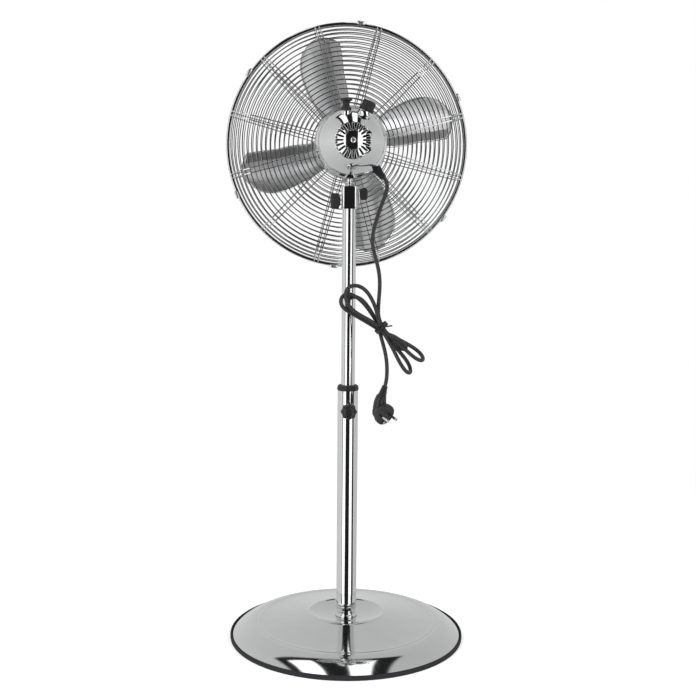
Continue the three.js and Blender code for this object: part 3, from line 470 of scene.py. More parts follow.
def smooth_path(points: Sequence[Vector], steps: int, closed: bool = False) -> list[Vector]:
    """A smooth line through points.

    Args:
        points: where the line passes.
        steps: pieces between two points.
        closed: whether the line joins its own start.

    Returns:
        The line's points.
    """
    count = len(points)
    made = []
    for i in range(count if closed else count - 1):
        if closed:
            around = [points[(i + k) % count] for k in (-1, 0, 1, 2)]
        else:
            around = [points[min(max(i + k, 0), count - 1)] for k in (-1, 0, 1, 2)]
        a, b, c, d = around
        for k in range(steps):
            t = k / steps
            made.append(
                0.5
                * (
                    2 * b
                    + (c - a) * t
                    + (2 * a - 5 * b + 4 * c - d) * t * t
                    + (3 * b - a - 3 * c + d) * t**3
                )
            )
    if not closed:
        made.append(points[-1].copy())
    return made


def straight(start: Vector, end: Vector) -> Matrix:
    """The turn and shift that put +Z from a start point towards an end point."""
    turn = (end - start).to_track_quat("Z", "Y").to_matrix().to_4x4()
    return Matrix.Translation(start) @ turn


class Form:
    """A mesh in the making: corners in millimetres and the faces between them."""

    def __init__(self) -> None:
        """Starts with nothing."""
        self.corners: list[Vector] = []
        self.faces: list[tuple[int, ...]] = []

    def grid(
        self,
        rows: Sequence[Sequence[Vector]],
        wrap: bool = True,
        loop: bool = False,
        caps: bool = False,
        keep: Callable[[int, int], bool] | None = None,
    ) -> "Form":
        """Adds a sheet of four-sided faces.

        Args:
            rows: rows of corners, all of one length.
            wrap: whether each row joins its own start.
            loop: whether the last row joins the first.
            caps: whether the first and last rows are filled.
            keep: says of a row and a column whether that face is made.

        Returns:
            This form.
        """
        first = len(self.corners)
        width = len(rows[0])
        for row in rows:
            self.corners.extend(Vector(corner) for corner in row)
        for i in range(len(rows) if loop else len(rows) - 1):
            below = first + i * width
            above = first + ((i + 1) % len(rows)) * width
            for j in range(width if wrap else width - 1):
                if keep and not keep(i, j):
                    continue
                after = (j + 1) % width
                self.faces.append((below + j, below + after, above + after, above + j))
        if caps:
            self.faces.append(tuple(first + j for j in reversed(range(width))))
            last = first + (len(rows) - 1) * width
            self.faces.append(tuple(last + j for j in range(width)))
        return self

    def turn(
        self,
        profile: Iterable[Corner],
        axis: Axis = Axis.UP,
        segments: int = 64,
        loop: bool = False,
        wave: Wave | None = None,
        matrix: Matrix | None = None,
    ) -> "Form":
        """Adds a body turned about an axis.

        Args:
            profile: (radius, height) pairs.
            axis: the axis that it is turned about.
            segments: faces round it.
            loop: whether the profile closes on itself.
            wave: a radius for a radius, height and angle, for lobes and ribs.
            matrix: a place for it, after the turning.

        Returns:
            This form.
        """
        rows = []
        for point in profile:
            row = []
            for j in range(segments):
                angle = 2 * math.pi * j / segments
                radius = wave(point[0], point[1], angle) if wave else point[0]
                across, over = radius * math.cos(angle), radius * math.sin(angle)
                if axis is Axis.UP:
                    row.append(Vector((across, over, point[1])))
                else:
                    row.append(Vector((across, point[1], over)))
            rows.append([matrix @ corner for corner in row] if matrix else row)
        return self.grid(rows, loop=loop)

    def sweep(
        self,
        path: Sequence[Vector],
        radius: float | Sequence[float],
        sides: int = 8,
        closed: bool = False,
        flat: float = 1.0,
        start: Vector = Z,
    ) -> "Form":
        """Adds a round or flattened bar along a path.

        Args:
            path: the path's points.
            radius: one radius, or one for each point.
            sides: faces round the bar.
            closed: whether the path joins its own start.
            flat: the section's height as a share of its width.
            start: a direction that the section's height keeps near.

        Returns:
            This form.
        """
        rows = []
        count = len(path)
        upright = start
        for i, spot in enumerate(path):
            if closed:
                along = unit(path[(i + 1) % count] - path[i - 1])
            else:
                along = unit(path[min(i + 1, count - 1)] - path[max(i - 1, 0)])
            side = upright.cross(along)
            if side.length < 1e-3:
                side = Vector((1, 0, 0)).cross(along)
            side.normalize()
            upright = along.cross(side)
            size = radius[i] if isinstance(radius, (list, tuple)) else radius
            row = []
            for j in range(sides):
                angle = 2 * math.pi * j / sides
                wide, high = size * math.cos(angle), size * flat * math.sin(angle)
                row.append(spot + side * wide + upright * high)
            rows.append(row)
        return self.grid(rows, loop=closed, caps=not closed)

    def hoop(
        self, radius: float, height: float, wire: float, segments: int = 128, sides: int = 8
    ) -> "Form":
        """Adds a round wire ring about the Y axis."""
        profile = []
        for k in range(sides):
            angle = 2 * math.pi * k / sides
            profile.append((radius + wire * math.cos(angle), height + wire * math.sin(angle)))
        return self.turn(profile, Axis.AHEAD, segments, loop=True)

    def plate(self, outline: Sequence[Vector], thickness: Vector, edge: float = 0.0) -> "Form":
        """Adds a flat outline with thickness and a softened edge.

        Args:
            outline: the outline's corners, in one plane.
            thickness: from the outline's own plane to the other face.
            edge: how far the edges are drawn in at both faces.

        Returns:
            This form.
        """
        middle = sum((corner for corner in outline), Vector()) / len(outline)
        inner = [corner + unit(middle - corner) * edge for corner in outline]
        lift = unit(thickness) * edge
        rows = [
            inner,
            [corner + lift for corner in outline],
            [corner + thickness - lift for corner in outline],
            [corner + thickness for corner in inner],
        ]
        return self.grid(rows if edge else [rows[0], rows[3]], caps=True)

    def move(self, matrix: Matrix) -> "Form":
        """Moves everything by a matrix."""
        self.corners = [matrix @ corner for corner in self.corners]
        return self

    def add(self, other: "Form", matrix: Matrix | None = None) -> "Form":
        """Adds another form, moved by a matrix."""
        first = len(self.corners)
        moved = matrix or Matrix.Identity(4)
        self.corners.extend(moved @ corner for corner in other.corners)
        self.faces.extend(tuple(first + k for k in face) for face in other.faces)
        return self

    def mesh(self, name: str, sharp: float) -> bpy.types.Mesh:
        """Makes the mesh in metres.

        Args:
            name: the mesh's name.
            sharp: edges that turn by more than this many degrees stay sharp.

        Returns:
            The mesh.
        """
        made = bpy.data.meshes.new(name)
        made.from_pydata([corner * METRE for corner in self.corners], [], self.faces)
        edit = bmesh.new()
        edit.from_mesh(made)
        bmesh.ops.remove_doubles(edit, verts=edit.verts, dist=2e-6)
        bmesh.ops.dissolve_degenerate(edit, edges=edit.edges, dist=1e-6)
        bmesh.ops.recalc_face_normals(edit, faces=edit.faces)
        edit.to_mesh(made)
        edit.free()
        made.polygons.foreach_set("use_smooth", [True] * len(made.polygons))
        made.set_sharp_from_angle(angle=math.radians(sharp))
        return made


@dataclass
class Piece:
    """One visible piece: its mesh, finish, body, slot and the nodes that it stands for."""

    name: str
    finish: Finish
    body: str
    slot: str
    replaces: tuple[str, ...] = ()
    sharp: float = 40.0

    def build(self, form: Form) -> bpy.types.Object:
        """Makes the object from a form."""
        made = bpy.data.objects.new(self.name, form.mesh(self.name, self.sharp))
        return self.dress(made)

    def dress(self, made: bpy.types.Object) -> bpy.types.Object:
        """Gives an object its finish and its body.

        Args:
            made: the object, not yet in the scene.

        Returns:
            The same object.
        """
        bpy.context.scene.collection.objects.link(made)
        made.data.materials.append(self.finish.material())
        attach(made, self.body)
        if self.replaces:
            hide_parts(*self.replaces)
        LOG.info("%s rides on %s", self.name, self.body)
        return made


# ---- Studio ----


@dataclass(frozen=True)
class Panel:
    """A panel of the room that gloss reflects, in degrees from the camera's direction."""

    left: float
    right: float
    low: float
    high: float
    soft: float = 2.0

    def mask(self, graph: Graph, side: Wire, lift: Wire) -> Wire:
        """One inside the panel.

        Args:
            graph: the graph that it is added to.
            side: how far to the right a ray goes.
            lift: how far up it goes.

        Returns:
            The mask.
        """
        across = graph.between(side, self.left, self.right, self.soft)
        return across * graph.between(lift, self.low, self.high, 2)


@dataclass
class Studio:
    """The camera, the paper floor, the lamps and the room that gloss reflects."""

    distance: float = 1971.97
    height: float = 767.2
    azimuth: float = -3.05
    pitch: float = 7.14
    roll: float = 0.46
    lens: float = 58.75
    sensor: float = 36.0
    aside: float = -0.393
    grey: float = 0.67
    shade: float = 0.015
    strip: float = 1.7
    column: Panel = Panel(-27, 17, -66, 64)
    edge: Panel = Panel(45, 64, -60, 62, 1.5)
    ceiling: Panel = Panel(-31, 24, 62, 117)
    left_strip: Panel = Panel(-57, -26, -56, 44, 1.5)
    right_strip: Panel = Panel(16, 46, -56, 44, 1.5)
    left_pane: tuple[float, float] = (-25, -11)
    right_pane: tuple[float, float] = (1, 14)
    pane_lift: tuple[float, float] = (69, 110)
    dark_reach: float = 67.0
    bright_reach: float = 62.0
    floor_drop: float = 0.2
    floor_rings: int = 24

    def camera(self) -> None:
        """Makes the camera."""
        turn = math.radians(self.azimuth)
        spot = Vector((math.sin(turn), -math.cos(turn), 0)) * self.distance
        spot.z = self.height
        yaw = math.atan2(self.aside, self.distance)
        level = Vector((-math.sin(turn), math.cos(turn), 0))
        level = Matrix.Rotation(-yaw, 3, "Z") @ level
        right = level.cross(Z)
        dip = math.radians(self.pitch)
        ahead = level * math.cos(dip) - Z * math.sin(dip)
        over = right.cross(ahead)
        lean = math.radians(self.roll)
        side = right * math.cos(lean) + over * math.sin(lean)
        top = over * math.cos(lean) - right * math.sin(lean)
        data = bpy.data.cameras.new("camera")
        data.lens = self.lens
        data.sensor_width = self.sensor
        data.clip_start = 0.05
        data.clip_end = 60
        made = bpy.data.objects.new("camera", data)
        made.matrix_world = Matrix.Translation(spot * METRE) @ Matrix(
            (side, top, -ahead)
        ).transposed().to_4x4()
        bpy.context.scene.collection.objects.link(made)
        bpy.context.scene.camera = made

    def floor(self) -> None:
        """Makes the round paper floor."""
        reach = PAPER.outer / METRE
        count = self.floor_rings
        rings = [reach * (k / count) ** 1.5 for k in range(count + 1)]
        form = Form().turn([(ring, -self.floor_drop) for ring in rings], segments=72)
        made = bpy.data.objects.new("floor", form.mesh("floor", 60))
        made.data.materials.append(PAPER.material())
        made.visible_glossy = False
        bpy.context.scene.collection.objects.link(made)

    def surroundings(self) -> None:
        """Makes the world: white to the eye, and grey, dark and bright panels in gloss."""
        world = bpy.data.worlds.new("studio")
        bpy.context.scene.world = world
        world.use_nodes = True
        graph = Graph(world.node_tree)
        where = graph.node("ShaderNodeTexCoord", output="Generated")
        spin = Matrix.Rotation(math.radians(self.azimuth), 3, "Z")
        turned = graph.node(
            "ShaderNodeMapping", {}, {"Vector": where, "Rotation": tuple(spin.to_euler())}
        )
        split = graph.node("ShaderNodeSeparateXYZ", {}, {0: turned}).socket.node.outputs
        across, ahead, upward = (Wire(graph, split[axis]) for axis in "XYZ")
        degrees = 180 / math.pi
        back = ahead * -1
        side = graph.node("ShaderNodeMath", {"operation": "ARCSINE"}, {0: across}) * degrees
        lift = upward.maths("ARCTAN2", back) * degrees
        facing = graph.node("ShaderNodeMath", {"operation": "ARCCOSINE"}, {0: back}) * degrees
        column = self.column.mask(graph, side, lift)
        edge = self.edge.mask(graph, side, lift)
        dark = column.maths("MAXIMUM", edge)
        dark = dark.maths("MAXIMUM", graph.between(facing, 0, self.dark_reach, 2))
        dark = dark.maths("MAXIMUM", self.ceiling.mask(graph, side, lift))
        panes = (
            graph.between(side, *self.left_pane, 1.5) + graph.between(side, *self.right_pane, 1.5)
        ) * graph.between(lift, *self.pane_lift, 2)
        strips = self.left_strip.mask(graph, side, lift) + self.right_strip.mask(graph, side, lift)
        bright = strips * (1 - column) * graph.between(facing, 0, self.bright_reach, 2) + panes
        high = graph.node("ShaderNodeMath", {"operation": "ABSOLUTE"}, {0: upward})
        walls = self.grey * (1.12 - 0.3 * high) - 0.06 * across - 0.05 * ahead
        room = walls - dark * (walls - self.shade)
        level = room * (1 - bright) + bright * self.strip
        pure = (1, 1, 1, 1)
        gloss = graph.node("ShaderNodeBackground", {}, {"Color": pure, "Strength": level})
        white = graph.node("ShaderNodeBackground", {}, {"Color": pure, "Strength": 1.0})
        eye = graph.node("ShaderNodeLightPath", output="Is Camera Ray")
        seen = graph.node("ShaderNodeMixShader", {}, {0: eye, 1: gloss, 2: white})
        graph.node("ShaderNodeOutputWorld", {}, {"Surface": seen})

    @staticmethod
    def lamp(
        name: str, spot: Corner, aim: Corner, size: tuple[float, float], power: float
    ) -> bpy.types.Object:
        """Makes a soft lamp, in metres.

        Args:
            name: the lamp's name.
            spot: where it stands.
            aim: the point that it faces.
            size: its width and height.
            power: its power in watts.

        Returns:
            The lamp.
        """
        data = bpy.data.lights.new(name, "AREA")
        data.shape = "RECTANGLE"
        data.size, data.size_y = size
        data.energy = power
        made = bpy.data.objects.new(name, data)
        made.location = spot
        way = Vector(aim) - Vector(spot)
        made.rotation_euler = way.to_track_quat("-Z", "Y").to_euler()
        made.visible_camera = False
        bpy.context.scene.collection.objects.link(made)
        return made

    def lamps(self) -> None:
        """Makes the soft lamps beside the camera."""
        for name, spot, power in (
            ("lamp_left", (-1.9, -2.2, 1.9), 40),
            ("lamp_right", (1.9, -2.0, 1.7), 34),
        ):
            made = self.lamp(name, spot, (0, 0, 0.7), (1.0, 1.4), power)
            made.visible_glossy = False

    def blade_lamps(self) -> None:
        """Makes the two small lamps that only the blades take."""
        blades = bpy.data.collections.new("blades_only")
        for name in ("blade_set", "blade_hub"):
            blades.objects.link(bpy.data.objects[name])
        for name, spot, aim, power in (
            ("lamp_low", (0.16, -0.62, 0.2), (0.12, 0.08, 0.9), 4.0),
            ("lamp_high", (-0.16, -0.62, 1.62), (-0.12, 0.08, 0.84), 1.2),
        ):
            made = self.lamp(name, spot, aim, (0.5, 0.3), power)
            made.light_linking.receiver_collection = blades

    def build(self) -> None:
        """Makes the whole studio."""
        self.camera()
        self.floor()
        self.surroundings()
        self.lamps()
        bpy.context.scene.view_settings.view_transform = "Standard"


# ---- Mains lead ----


@dataclass
class Lead:
    """The mains lead: ribbed boot, hanging cord with its hank, tie and plug."""

    radius: float = 3.3
    spacing: float = 3.5
    easing: int = 4
    motor: float = 873.0
    dome: float = 60.5
    foot_way: Vector = field(default_factory=lambda: unit(Vector((0.5, -0.62, -0.6))))
    boot_length: float = 28.0
    drop: tuple[Corner, ...] = (
        (60.4, -57.6, 799),
        (57.6, -63, 788),
        (52.4, -68.4, 775),
        (46, -73.5, 759),
        (40.8, -77, 743),
        (36.6, -79, 727),
        (34.2, -80, 711),
        (36.4, -80, 694),
        (41.4, -80, 677),
        (45.6, -80, 660),
        (47.6, -80, 643),
        (47.4, -80, 627),
        (46.2, -81, 611),
        (45.4, -83, 597),
        (45.6, -85.2, 583),
    )
    tail: tuple[Corner, ...] = (
        (46.5, -75.5, 564.5),
        (50.6, -76.5, 550),
        (55, -78, 535),
        (58.8, -79.4, 519.5),
        (61.0, -80, 504),
        (61.6, -80, 489),
        (60.9, -80, 476),
    )
    laps: tuple[tuple[Corner, ...], ...] = (
        (
            (56, -84, 560),
            (79.1, -86, 540.4),
            (92.2, -92.6, 527.8),
            (105.9, -96, 516.1),
            (113.2, -93.8, 511.6),
            (119.4, -88, 509.6),
            (123, -80, 510.6),
            (122.9, -72, 514.3),
            (119.2, -66.2, 519.7),
            (112.8, -64, 525.4),
            (97.6, -67.4, 535.1),
            (81.7, -74, 543.9),
            (61, -80.5, 554.5),
            (52, -82.5, 562),
        ),
        (
            (45.5, -84.5, 575),
            (42.4, -87, 594),
            (31.5, -88.5, 618),
            (19.7, -88.5, 631.5),
            (4.7, -88, 636.8),
            (-6.6, -87.5, 632.6),
            (-10.6, -87, 621.5),
            (-8, -87, 608.4),
            (-1.2, -87, 597.3),
            (15.2, -86, 586),
            (33, -84.5, 576.5),
            (47, -83, 566),
        ),
        (
            (57, -81.5, 553),
            (69.9, -86, 530.9),
            (77.8, -92.5, 514.5),
            (86.8, -95.9, 498.9),
            (92.3, -93.7, 492.3),
            (97.6, -87.9, 488.4),
            (101.4, -80, 488.2),
            (102.7, -72.1, 491.8),
            (101, -66.3, 498.2),
            (97, -64.1, 505.7),
            (85.8, -67.5, 519.9),
            (73.7, -74, 533.4),
            (59.5, -76.5, 549),
            (54, -77, 557),
        ),
        (
            (45.5, -76.5, 571.5),
            (38.6, -77, 582.2),
            (25, -78, 601.5),
            (12, -79.5, 614),
            (1, -80.5, 620.4),
            (-7.8, -81, 622),
            (-15.7, -81.5, 617.6),
            (-18.7, -81.5, 609),
            (-15.7, -81, 600.4),
            (-7.5, -80.8, 593.6),
            (2.5, -80.3, 588),
            (15.2, -79, 580.5),
            (34, -77.5, 569.5),
            (48, -76, 560.5),
        ),
        (
            (58, -77.5, 554.5),
            (70.6, -91.9, 552),
            (84.2, -96.7, 543.4),
            (89.8, -94.7, 537.6),
            (92.8, -89.3, 532),
            (92.4, -82, 528.2),
            (88.7, -74.7, 527.1),
            (82.7, -69.3, 529.1),
            (76, -67.3, 533.5),
            (65, -72.1, 545.3),
            (52, -81, 562.5),
        ),
        (
            (43.5, -75, 575.5),
            (35, -72.5, 590),
            (26.5, -71.5, 602.5),
            (17, -71, 612.5),
            (7.8, -71, 616.7),
            (-1, -71, 615.1),
            (-7.1, -71.5, 608.2),
            (-7.3, -71.5, 599.2),
            (-1, -71.5, 591.9),
            (9.5, -72, 586.2),
            (24, -73, 579.5),
            (37, -74, 573),
        ),
    )
    hank_centre: Corner = (51, -80, 565)
    hank_angle: float = -46.0
    plug_top: Vector = field(default_factory=lambda: Vector((58.6, -80, 466)))
    plug_neck: Vector = field(default_factory=lambda: Vector((52.8, -80, 446)))
    plug_centre: Vector = field(default_factory=lambda: Vector((53, -78, 421)))
    plug_way: Vector = field(default_factory=lambda: unit(Vector((0.56, -0.74, -0.37))))
    pin_spread: float = 9.5
    pin_radius: float = 2.4
    pin_length: float = 19.0
    tie_width: float = 6.5
    tie_wall: float = 1.5
    tie_bore: tuple[float, float] = (11.2, 10.6)
    boot_ribs: int = 6
    neck_ribs: int = 5
    grip_grooves: int = 18

    def foot(self) -> Vector:
        """Where the boot leaves the housing."""
        return Vector((0.6876 * self.dome, -27, self.motor - 0.6975 * self.dome))

    def exit(self) -> Vector:
        """Where the cord leaves the boot."""
        return self.foot() + self.foot_way * (self.boot_length + 0.3)

    def hank_spot(self, along: float, across: float, layer: float) -> Vector:
        """A place in the hank: along it, across it and through its thickness."""
        turn = math.radians(self.hank_angle)
        way = Vector((math.cos(turn), 0, math.sin(turn)))
        side = Vector((-math.sin(turn), 0, math.cos(turn)))
        return Vector(self.hank_centre) + way * along + side * across + Vector((0, layer, 0))

    def route(self) -> list[Vector]:
        """The whole cord's route, from the boot to the plug."""
        points = [self.exit() + self.foot_way * step for step in (0.9, 8)]
        points += [Vector(point) for point in self.drop]
        for lap in self.laps:
            points += [Vector(point) for point in lap]
        points += [Vector(point) for point in self.tail]
        points.append(self.plug_top + unit(self.plug_top - self.plug_neck) * 0.6)
        return points

    def centreline(self) -> list[Vector]:
        """The cord's centre line: evenly spaced points with every kink eased out."""
        dense = smooth_path(self.route(), 8)
        spaced = [dense[0]]
        for spot in dense[1:]:
            if (spot - spaced[-1]).length >= self.spacing:
                spaced.append(spot)
        spaced[-1] = dense[-1]
        for _ in range(self.easing):
            middle = [
                (before + here * 2 + after) / 4
                for before, here, after in zip(spaced, spaced[1:], spaced[2:])
            ]
            spaced = [spaced[0], *middle, spaced[-1]]
        return spaced

    def cord(self) -> bpy.types.Object:
        """Makes the cord as one curve."""
        points = self.centreline()
        data = bpy.data.curves.new("cord", "CURVE")
        data.dimensions = "3D"
        data.bevel_depth = self.radius * METRE
        data.bevel_resolution = 4
        data.use_fill_caps = True
        line = data.splines.new("POLY")
        line.points.add(len(points) - 1)
        for spot, point in zip(line.points, points):
            spot.co = (*(point * METRE), 1)
        line.use_smooth = True
        made = bpy.data.objects.new("cord", data)
        replaced = ("cord_drop", "cord_hank", "cord_tail")
        return Piece("cord", SHEATH, "lead", "black_rubber", replaced).dress(made)

    def length(self) -> float:
        """The cord's length in metres."""
        points = self.centreline()
        return sum((b - a).length for a, b in zip(points, points[1:])) * METRE

    def tie(self) -> None:
        """Makes the strap round the hank's waist."""
        form = Form()
        wall, columns = self.tie_wall, 48
        rows = []
        for grow, shift in ((0, -0.5), (wall, -0.5), (wall, 0.5), (0, 0.5)):
            row = []
            for k in range(columns):
                angle = 2 * math.pi * k / columns
                across = math.copysign(abs(math.cos(angle)) ** 0.7, math.cos(angle))
                deep = math.copysign(abs(math.sin(angle)) ** 0.7, math.sin(angle))
                wide = across * (self.tie_bore[0] + grow)
                row.append(
                    self.hank_spot(shift * self.tie_width, wide, deep * (self.tie_bore[1] + grow))
                )
            rows.append(row)
        form.grid(rows, loop=True)
        knot = [self.hank_spot(0, 3 * math.cos(a), -14.2 - math.sin(a)) for a in (0, 1, 2, 3)]
        form.sweep(smooth_path(knot, 4), 1.6, 10)
        loose = [self.hank_spot(*spot) for spot in ((0, 2, -13), (4, 9, -13.5), (9, 15, -10))]
        form.sweep(smooth_path(loose, 6), 1.3, 10)
        Piece("hank_tie", PLASTIC, "lead", "black_plastic", ("cord_tie",)).build(form)

    def boot(self) -> None:
        """Makes the ribbed strain relief at the housing."""
        profile: list[Corner] = [(0, -1.5), (8.2, -1.5), (8.6, 0.5), (8.6, 3, 1)]
        for k in range(self.boot_ribs):
            low = 4.2 + 3.8 * k
            rib = 7.2 - 0.38 * k
            groove = rib - 1.3
            profile += [(groove, low), (rib, low + 0.7), (rib, low + 2.0), (groove, low + 2.7)]
        end = self.boot_length
        profile += [(4.6, end - 0.8, 0.4), (4.0, end), (0, end)]
        place = straight(self.foot(), self.foot() + self.foot_way)
        form = Form().turn(filleted(profile), segments=40, matrix=place)
        plate = [(0, 1), (9.6, 1), (10.2, 2), (10.2, 4), (9.2, 5), (0, 5)]
        clip = Form().turn(plate, segments=40)
        form.add(clip, place @ Matrix.Diagonal((1, 0.8, 1, 1)))
        for side in (-1, 1):
            ear = Form().turn([(0, -2), (2.4, -2), (2.8, 0), (2.4, 2.2), (0, 2.2)], segments=20)
            form.add(ear, place @ Matrix.Translation((side * 10.5, 0, 3.2)))
        Piece("cord_boot", RUBBER, "head", "black_rubber", ("cord_gland",)).build(form)

    def plug(self) -> list[bpy.types.Object]:
        """Makes the plug's moulding, pins and earth contact."""
        form = Form()
        neck: list[Corner] = [(0, 0), (4.6, 0), (5.0, 1)]
        span = (self.plug_top - self.plug_neck).length
        for k in range(self.neck_ribs):
            low = 2 + k * (span - 2) / self.neck_ribs
            rib = 5.4 + 0.55 * k
            groove = rib - 0.9
            neck += [(groove, low), (rib, low + 0.6), (rib, low + 2.2), (groove, low + 2.9)]
        neck += [(8.2, span), (8.6, span + 3), (0, span + 3)]
        form.turn(neck, segments=32, matrix=straight(self.plug_top, self.plug_neck))
        back = self.plug_centre - self.plug_way * 10
        shoulder = [
            self.plug_neck + Vector((0, 0, 3)),
            self.plug_neck.lerp(back, 0.4) + Vector((0, -1, 0)),
            self.plug_centre - self.plug_way * 4,
        ]
        form.sweep(smooth_path(shoulder, 6), [8.6 + 0.42 * k for k in range(13)], 32, flat=0.92)
        body = [
            (0, -11.5),
            (10, -11.5, 3),
            (14.2, -8, 3),
            (15.6, 0, 3),
            (18.5, 4, 1.5),
            (18.5, 12, 1.2),
            (16.4, 12.0, 0.4),
            (16.2, 11.2, 0.4),
            (0, 11.2),
        ]

        def gripped(radius: float, height: float, angle: float) -> float:
            """Scoops finger grips into the body's back half."""
            share = max(0.0, min(1.0, (4 - height) / 6)) if radius > 9 else 0
            wave = 0.5 + 0.5 * math.cos(self.grip_grooves * angle)
            return radius * (1 - 0.035 * share * wave)

        place = straight(self.plug_centre, self.plug_centre + self.plug_way)
        form.turn(filleted(body), segments=96, wave=gripped, matrix=place)
        moulding = Piece(
            "plug_moulding", GLOSSY, "lead", "black_rubber", ("plug_body",), 50
        ).build(form)
        made = [moulding]
        across = unit(self.plug_way.cross(Z))
        upward = unit(across.cross(self.plug_way))
        face = self.plug_centre + self.plug_way * 12
        for number, side in ((1, -1), (2, 1)):
            foot = face + across * self.pin_spread * side + self.plug_way * 0.3
            pin = Form().turn(
                filleted(
                    [
                        (0, 0),
                        (self.pin_radius, 0),
                        (self.pin_radius, self.pin_length - 1.5, 1.6),
                        (self.pin_radius / 2, self.pin_length, 0.6),
                        (0, self.pin_length),
                    ]
                ),
                segments=28,
                matrix=straight(foot, foot + self.plug_way),
            )
            made.append(
                Piece(
                    f"plug_prong_{number}", CHROME, "lead", "chrome", (f"plug_pin_{number}",)
                ).build(pin)
            )
        foot = face - upward * 14 + self.plug_way * 0.3
        contact = Form().turn(
            filleted([(0, 0), (2.7, 0), (2.6, 1.4, 0.6), (1.4, 2), (0, 2)]),
            segments=24,
            matrix=straight(foot, foot + self.plug_way),
        )
        made.append(
            Piece("plug_contact", STEEL, "lead", "steel", ("plug_earth",)).build(contact)
        )
        return made

    def build(self) -> None:
        """Makes the lead and says what it is."""
        cord = self.cord()
        self.tie()
        self.boot()
        pieces = self.plug()
        tuple(self.exit() * METRE)
        self.length()
        LOG.info("cord is %.3f m long", self.length())


# ---- Base and pole ----


@dataclass
class Base:
    """The dished chrome base, its rubber edge and the collar for the pole."""

    radius: float = 208.0
    rim: float = 204.4
    dish: float = 66.0
    shoulder: float = 158.0
    dish_floor: float = 36.0
    shoulder_height: float = 28.0
    wall: float = 2.0
    bore: float = 8.0
    opening: float = 17.6
    collar_foot: float = 36.3
    pole_foot: float = 57.0

    def height(self, radius: float) -> float:
        """The cover's height at a radius."""
        if radius <= self.dish:
            share = max(0.0, (radius / self.dish - 0.42) / 0.58)
            return self.dish_floor + 7 * share**1.6
        if radius <= self.shoulder:
            share = (self.shoulder - radius) / (self.shoulder - self.dish)
            return self.shoulder_height + 15 * share**1.25
        share = min(1.0, (radius - self.shoulder) / (self.rim - self.shoulder))
        return self.shoulder_height - 21.4 * share**1.8

    def creased(self, radius: float) -> float:
        """The cover's height with its raised lip and shallow step rounded in."""
        lip = 0.9 * math.exp(-(((radius - self.dish) / 2.0) ** 2))
        step = 0.7 * math.exp(-(((radius - self.shoulder + 1.5) / 1.6) ** 2))
        dip = 0.5 * math.exp(-(((radius - self.shoulder - 2.2) / 1.8) ** 2))
        return self.height(radius) + lip + step - dip

    def cover(self) -> None:
        """Makes the pressed cover."""
        inner, steps = self.opening, 150
        radii = [inner + (self.rim - inner) * k / steps for k in range(steps + 1)]
        top = [(radius, self.creased(radius)) for radius in radii]
        top += [(self.rim + 0.1, 5.5), (self.rim, 4.2)]
        under = [(self.rim - self.wall, 4.2)]
        for k in range(16):
            radius = (self.rim - 12) + (inner - self.rim + 12) * k / 15
            under.append((radius, self.height(radius) - self.wall))
        form = Form().turn(top + under, segments=180, loop=True)
        Piece("base_shell", CHROME, "stand", "chrome", ("base_cover",), 70).build(form)

    def edge(self) -> None:
        """Makes the rubber edge."""
        profile = filleted(
            [
                (self.radius - 12, 0),
                (self.radius - 0.6, 0, 1.6),
                (self.radius, 4.6, 2),
                (self.radius - 0.8, 8.8, 1.4),
                (self.rim + 0.3, 8.6, 0.5),
                (self.rim + 0.3, 3.9),
                (self.radius - 12, 3.8),
            ]
        )
        form = Form().turn(profile, segments=180, loop=True)
        Piece("edge_rubber", RUBBER, "stand", "black_rubber", ("base_edge_ring",)).build(form)

    def collar(self) -> None:
        """Makes the grooved collar under the pole."""
        foot = self.collar_foot
        profile: list[Corner] = [
            (self.bore, foot),
            (19.7, foot, 0.6),
            (19.7, foot + 3, 1.4),
            (17.3, foot + 4.6, 1.2),
            (17.3, foot + 7, 0.4),
        ]
        for groove in (7.6, 11.6):
            profile += [(16.4, foot + groove), (17.3, foot + groove + 0.6)]
            profile += [(17.3, foot + groove + 3.2, 0.4)]
        profile += [
            (17.3, self.pole_foot - 4.4, 0.6),
            (19.6, self.pole_foot - 3, 0.8),
            (19.6, self.pole_foot - 0.3, 0.6),
            (15, self.pole_foot - 0.3),
            (self.bore, self.pole_foot - 0.3),
        ]
        form = Form().turn(filleted(profile), segments=72, loop=True)
        Piece("pole_collar", CHROME, "stand", "chrome", ("base_flange",), 50).build(form)

    def build(self) -> None:
        """Makes the base."""
        self.cover()
        self.edge()
        self.collar()


def lobes(count: int, depth: float, low: float, high: float) -> Wave:
    """Finger lobes on the round part of a grip.

    Args:
        count: how many lobes.
        depth: how deep the hollows between them are.
        low: the radius at which they begin.
        high: the radius at which they are full.

    Returns:
        The radius for a radius, height and angle.
    """

    def waved(radius: float, height: float, angle: float) -> float:
        """The radius with its hollow."""
        share = min(1.0, max(0.0, (radius - low) / (high - low)))
        return radius - depth * share * (0.5 - 0.5 * math.cos(count * angle)) ** 0.8

    return waved


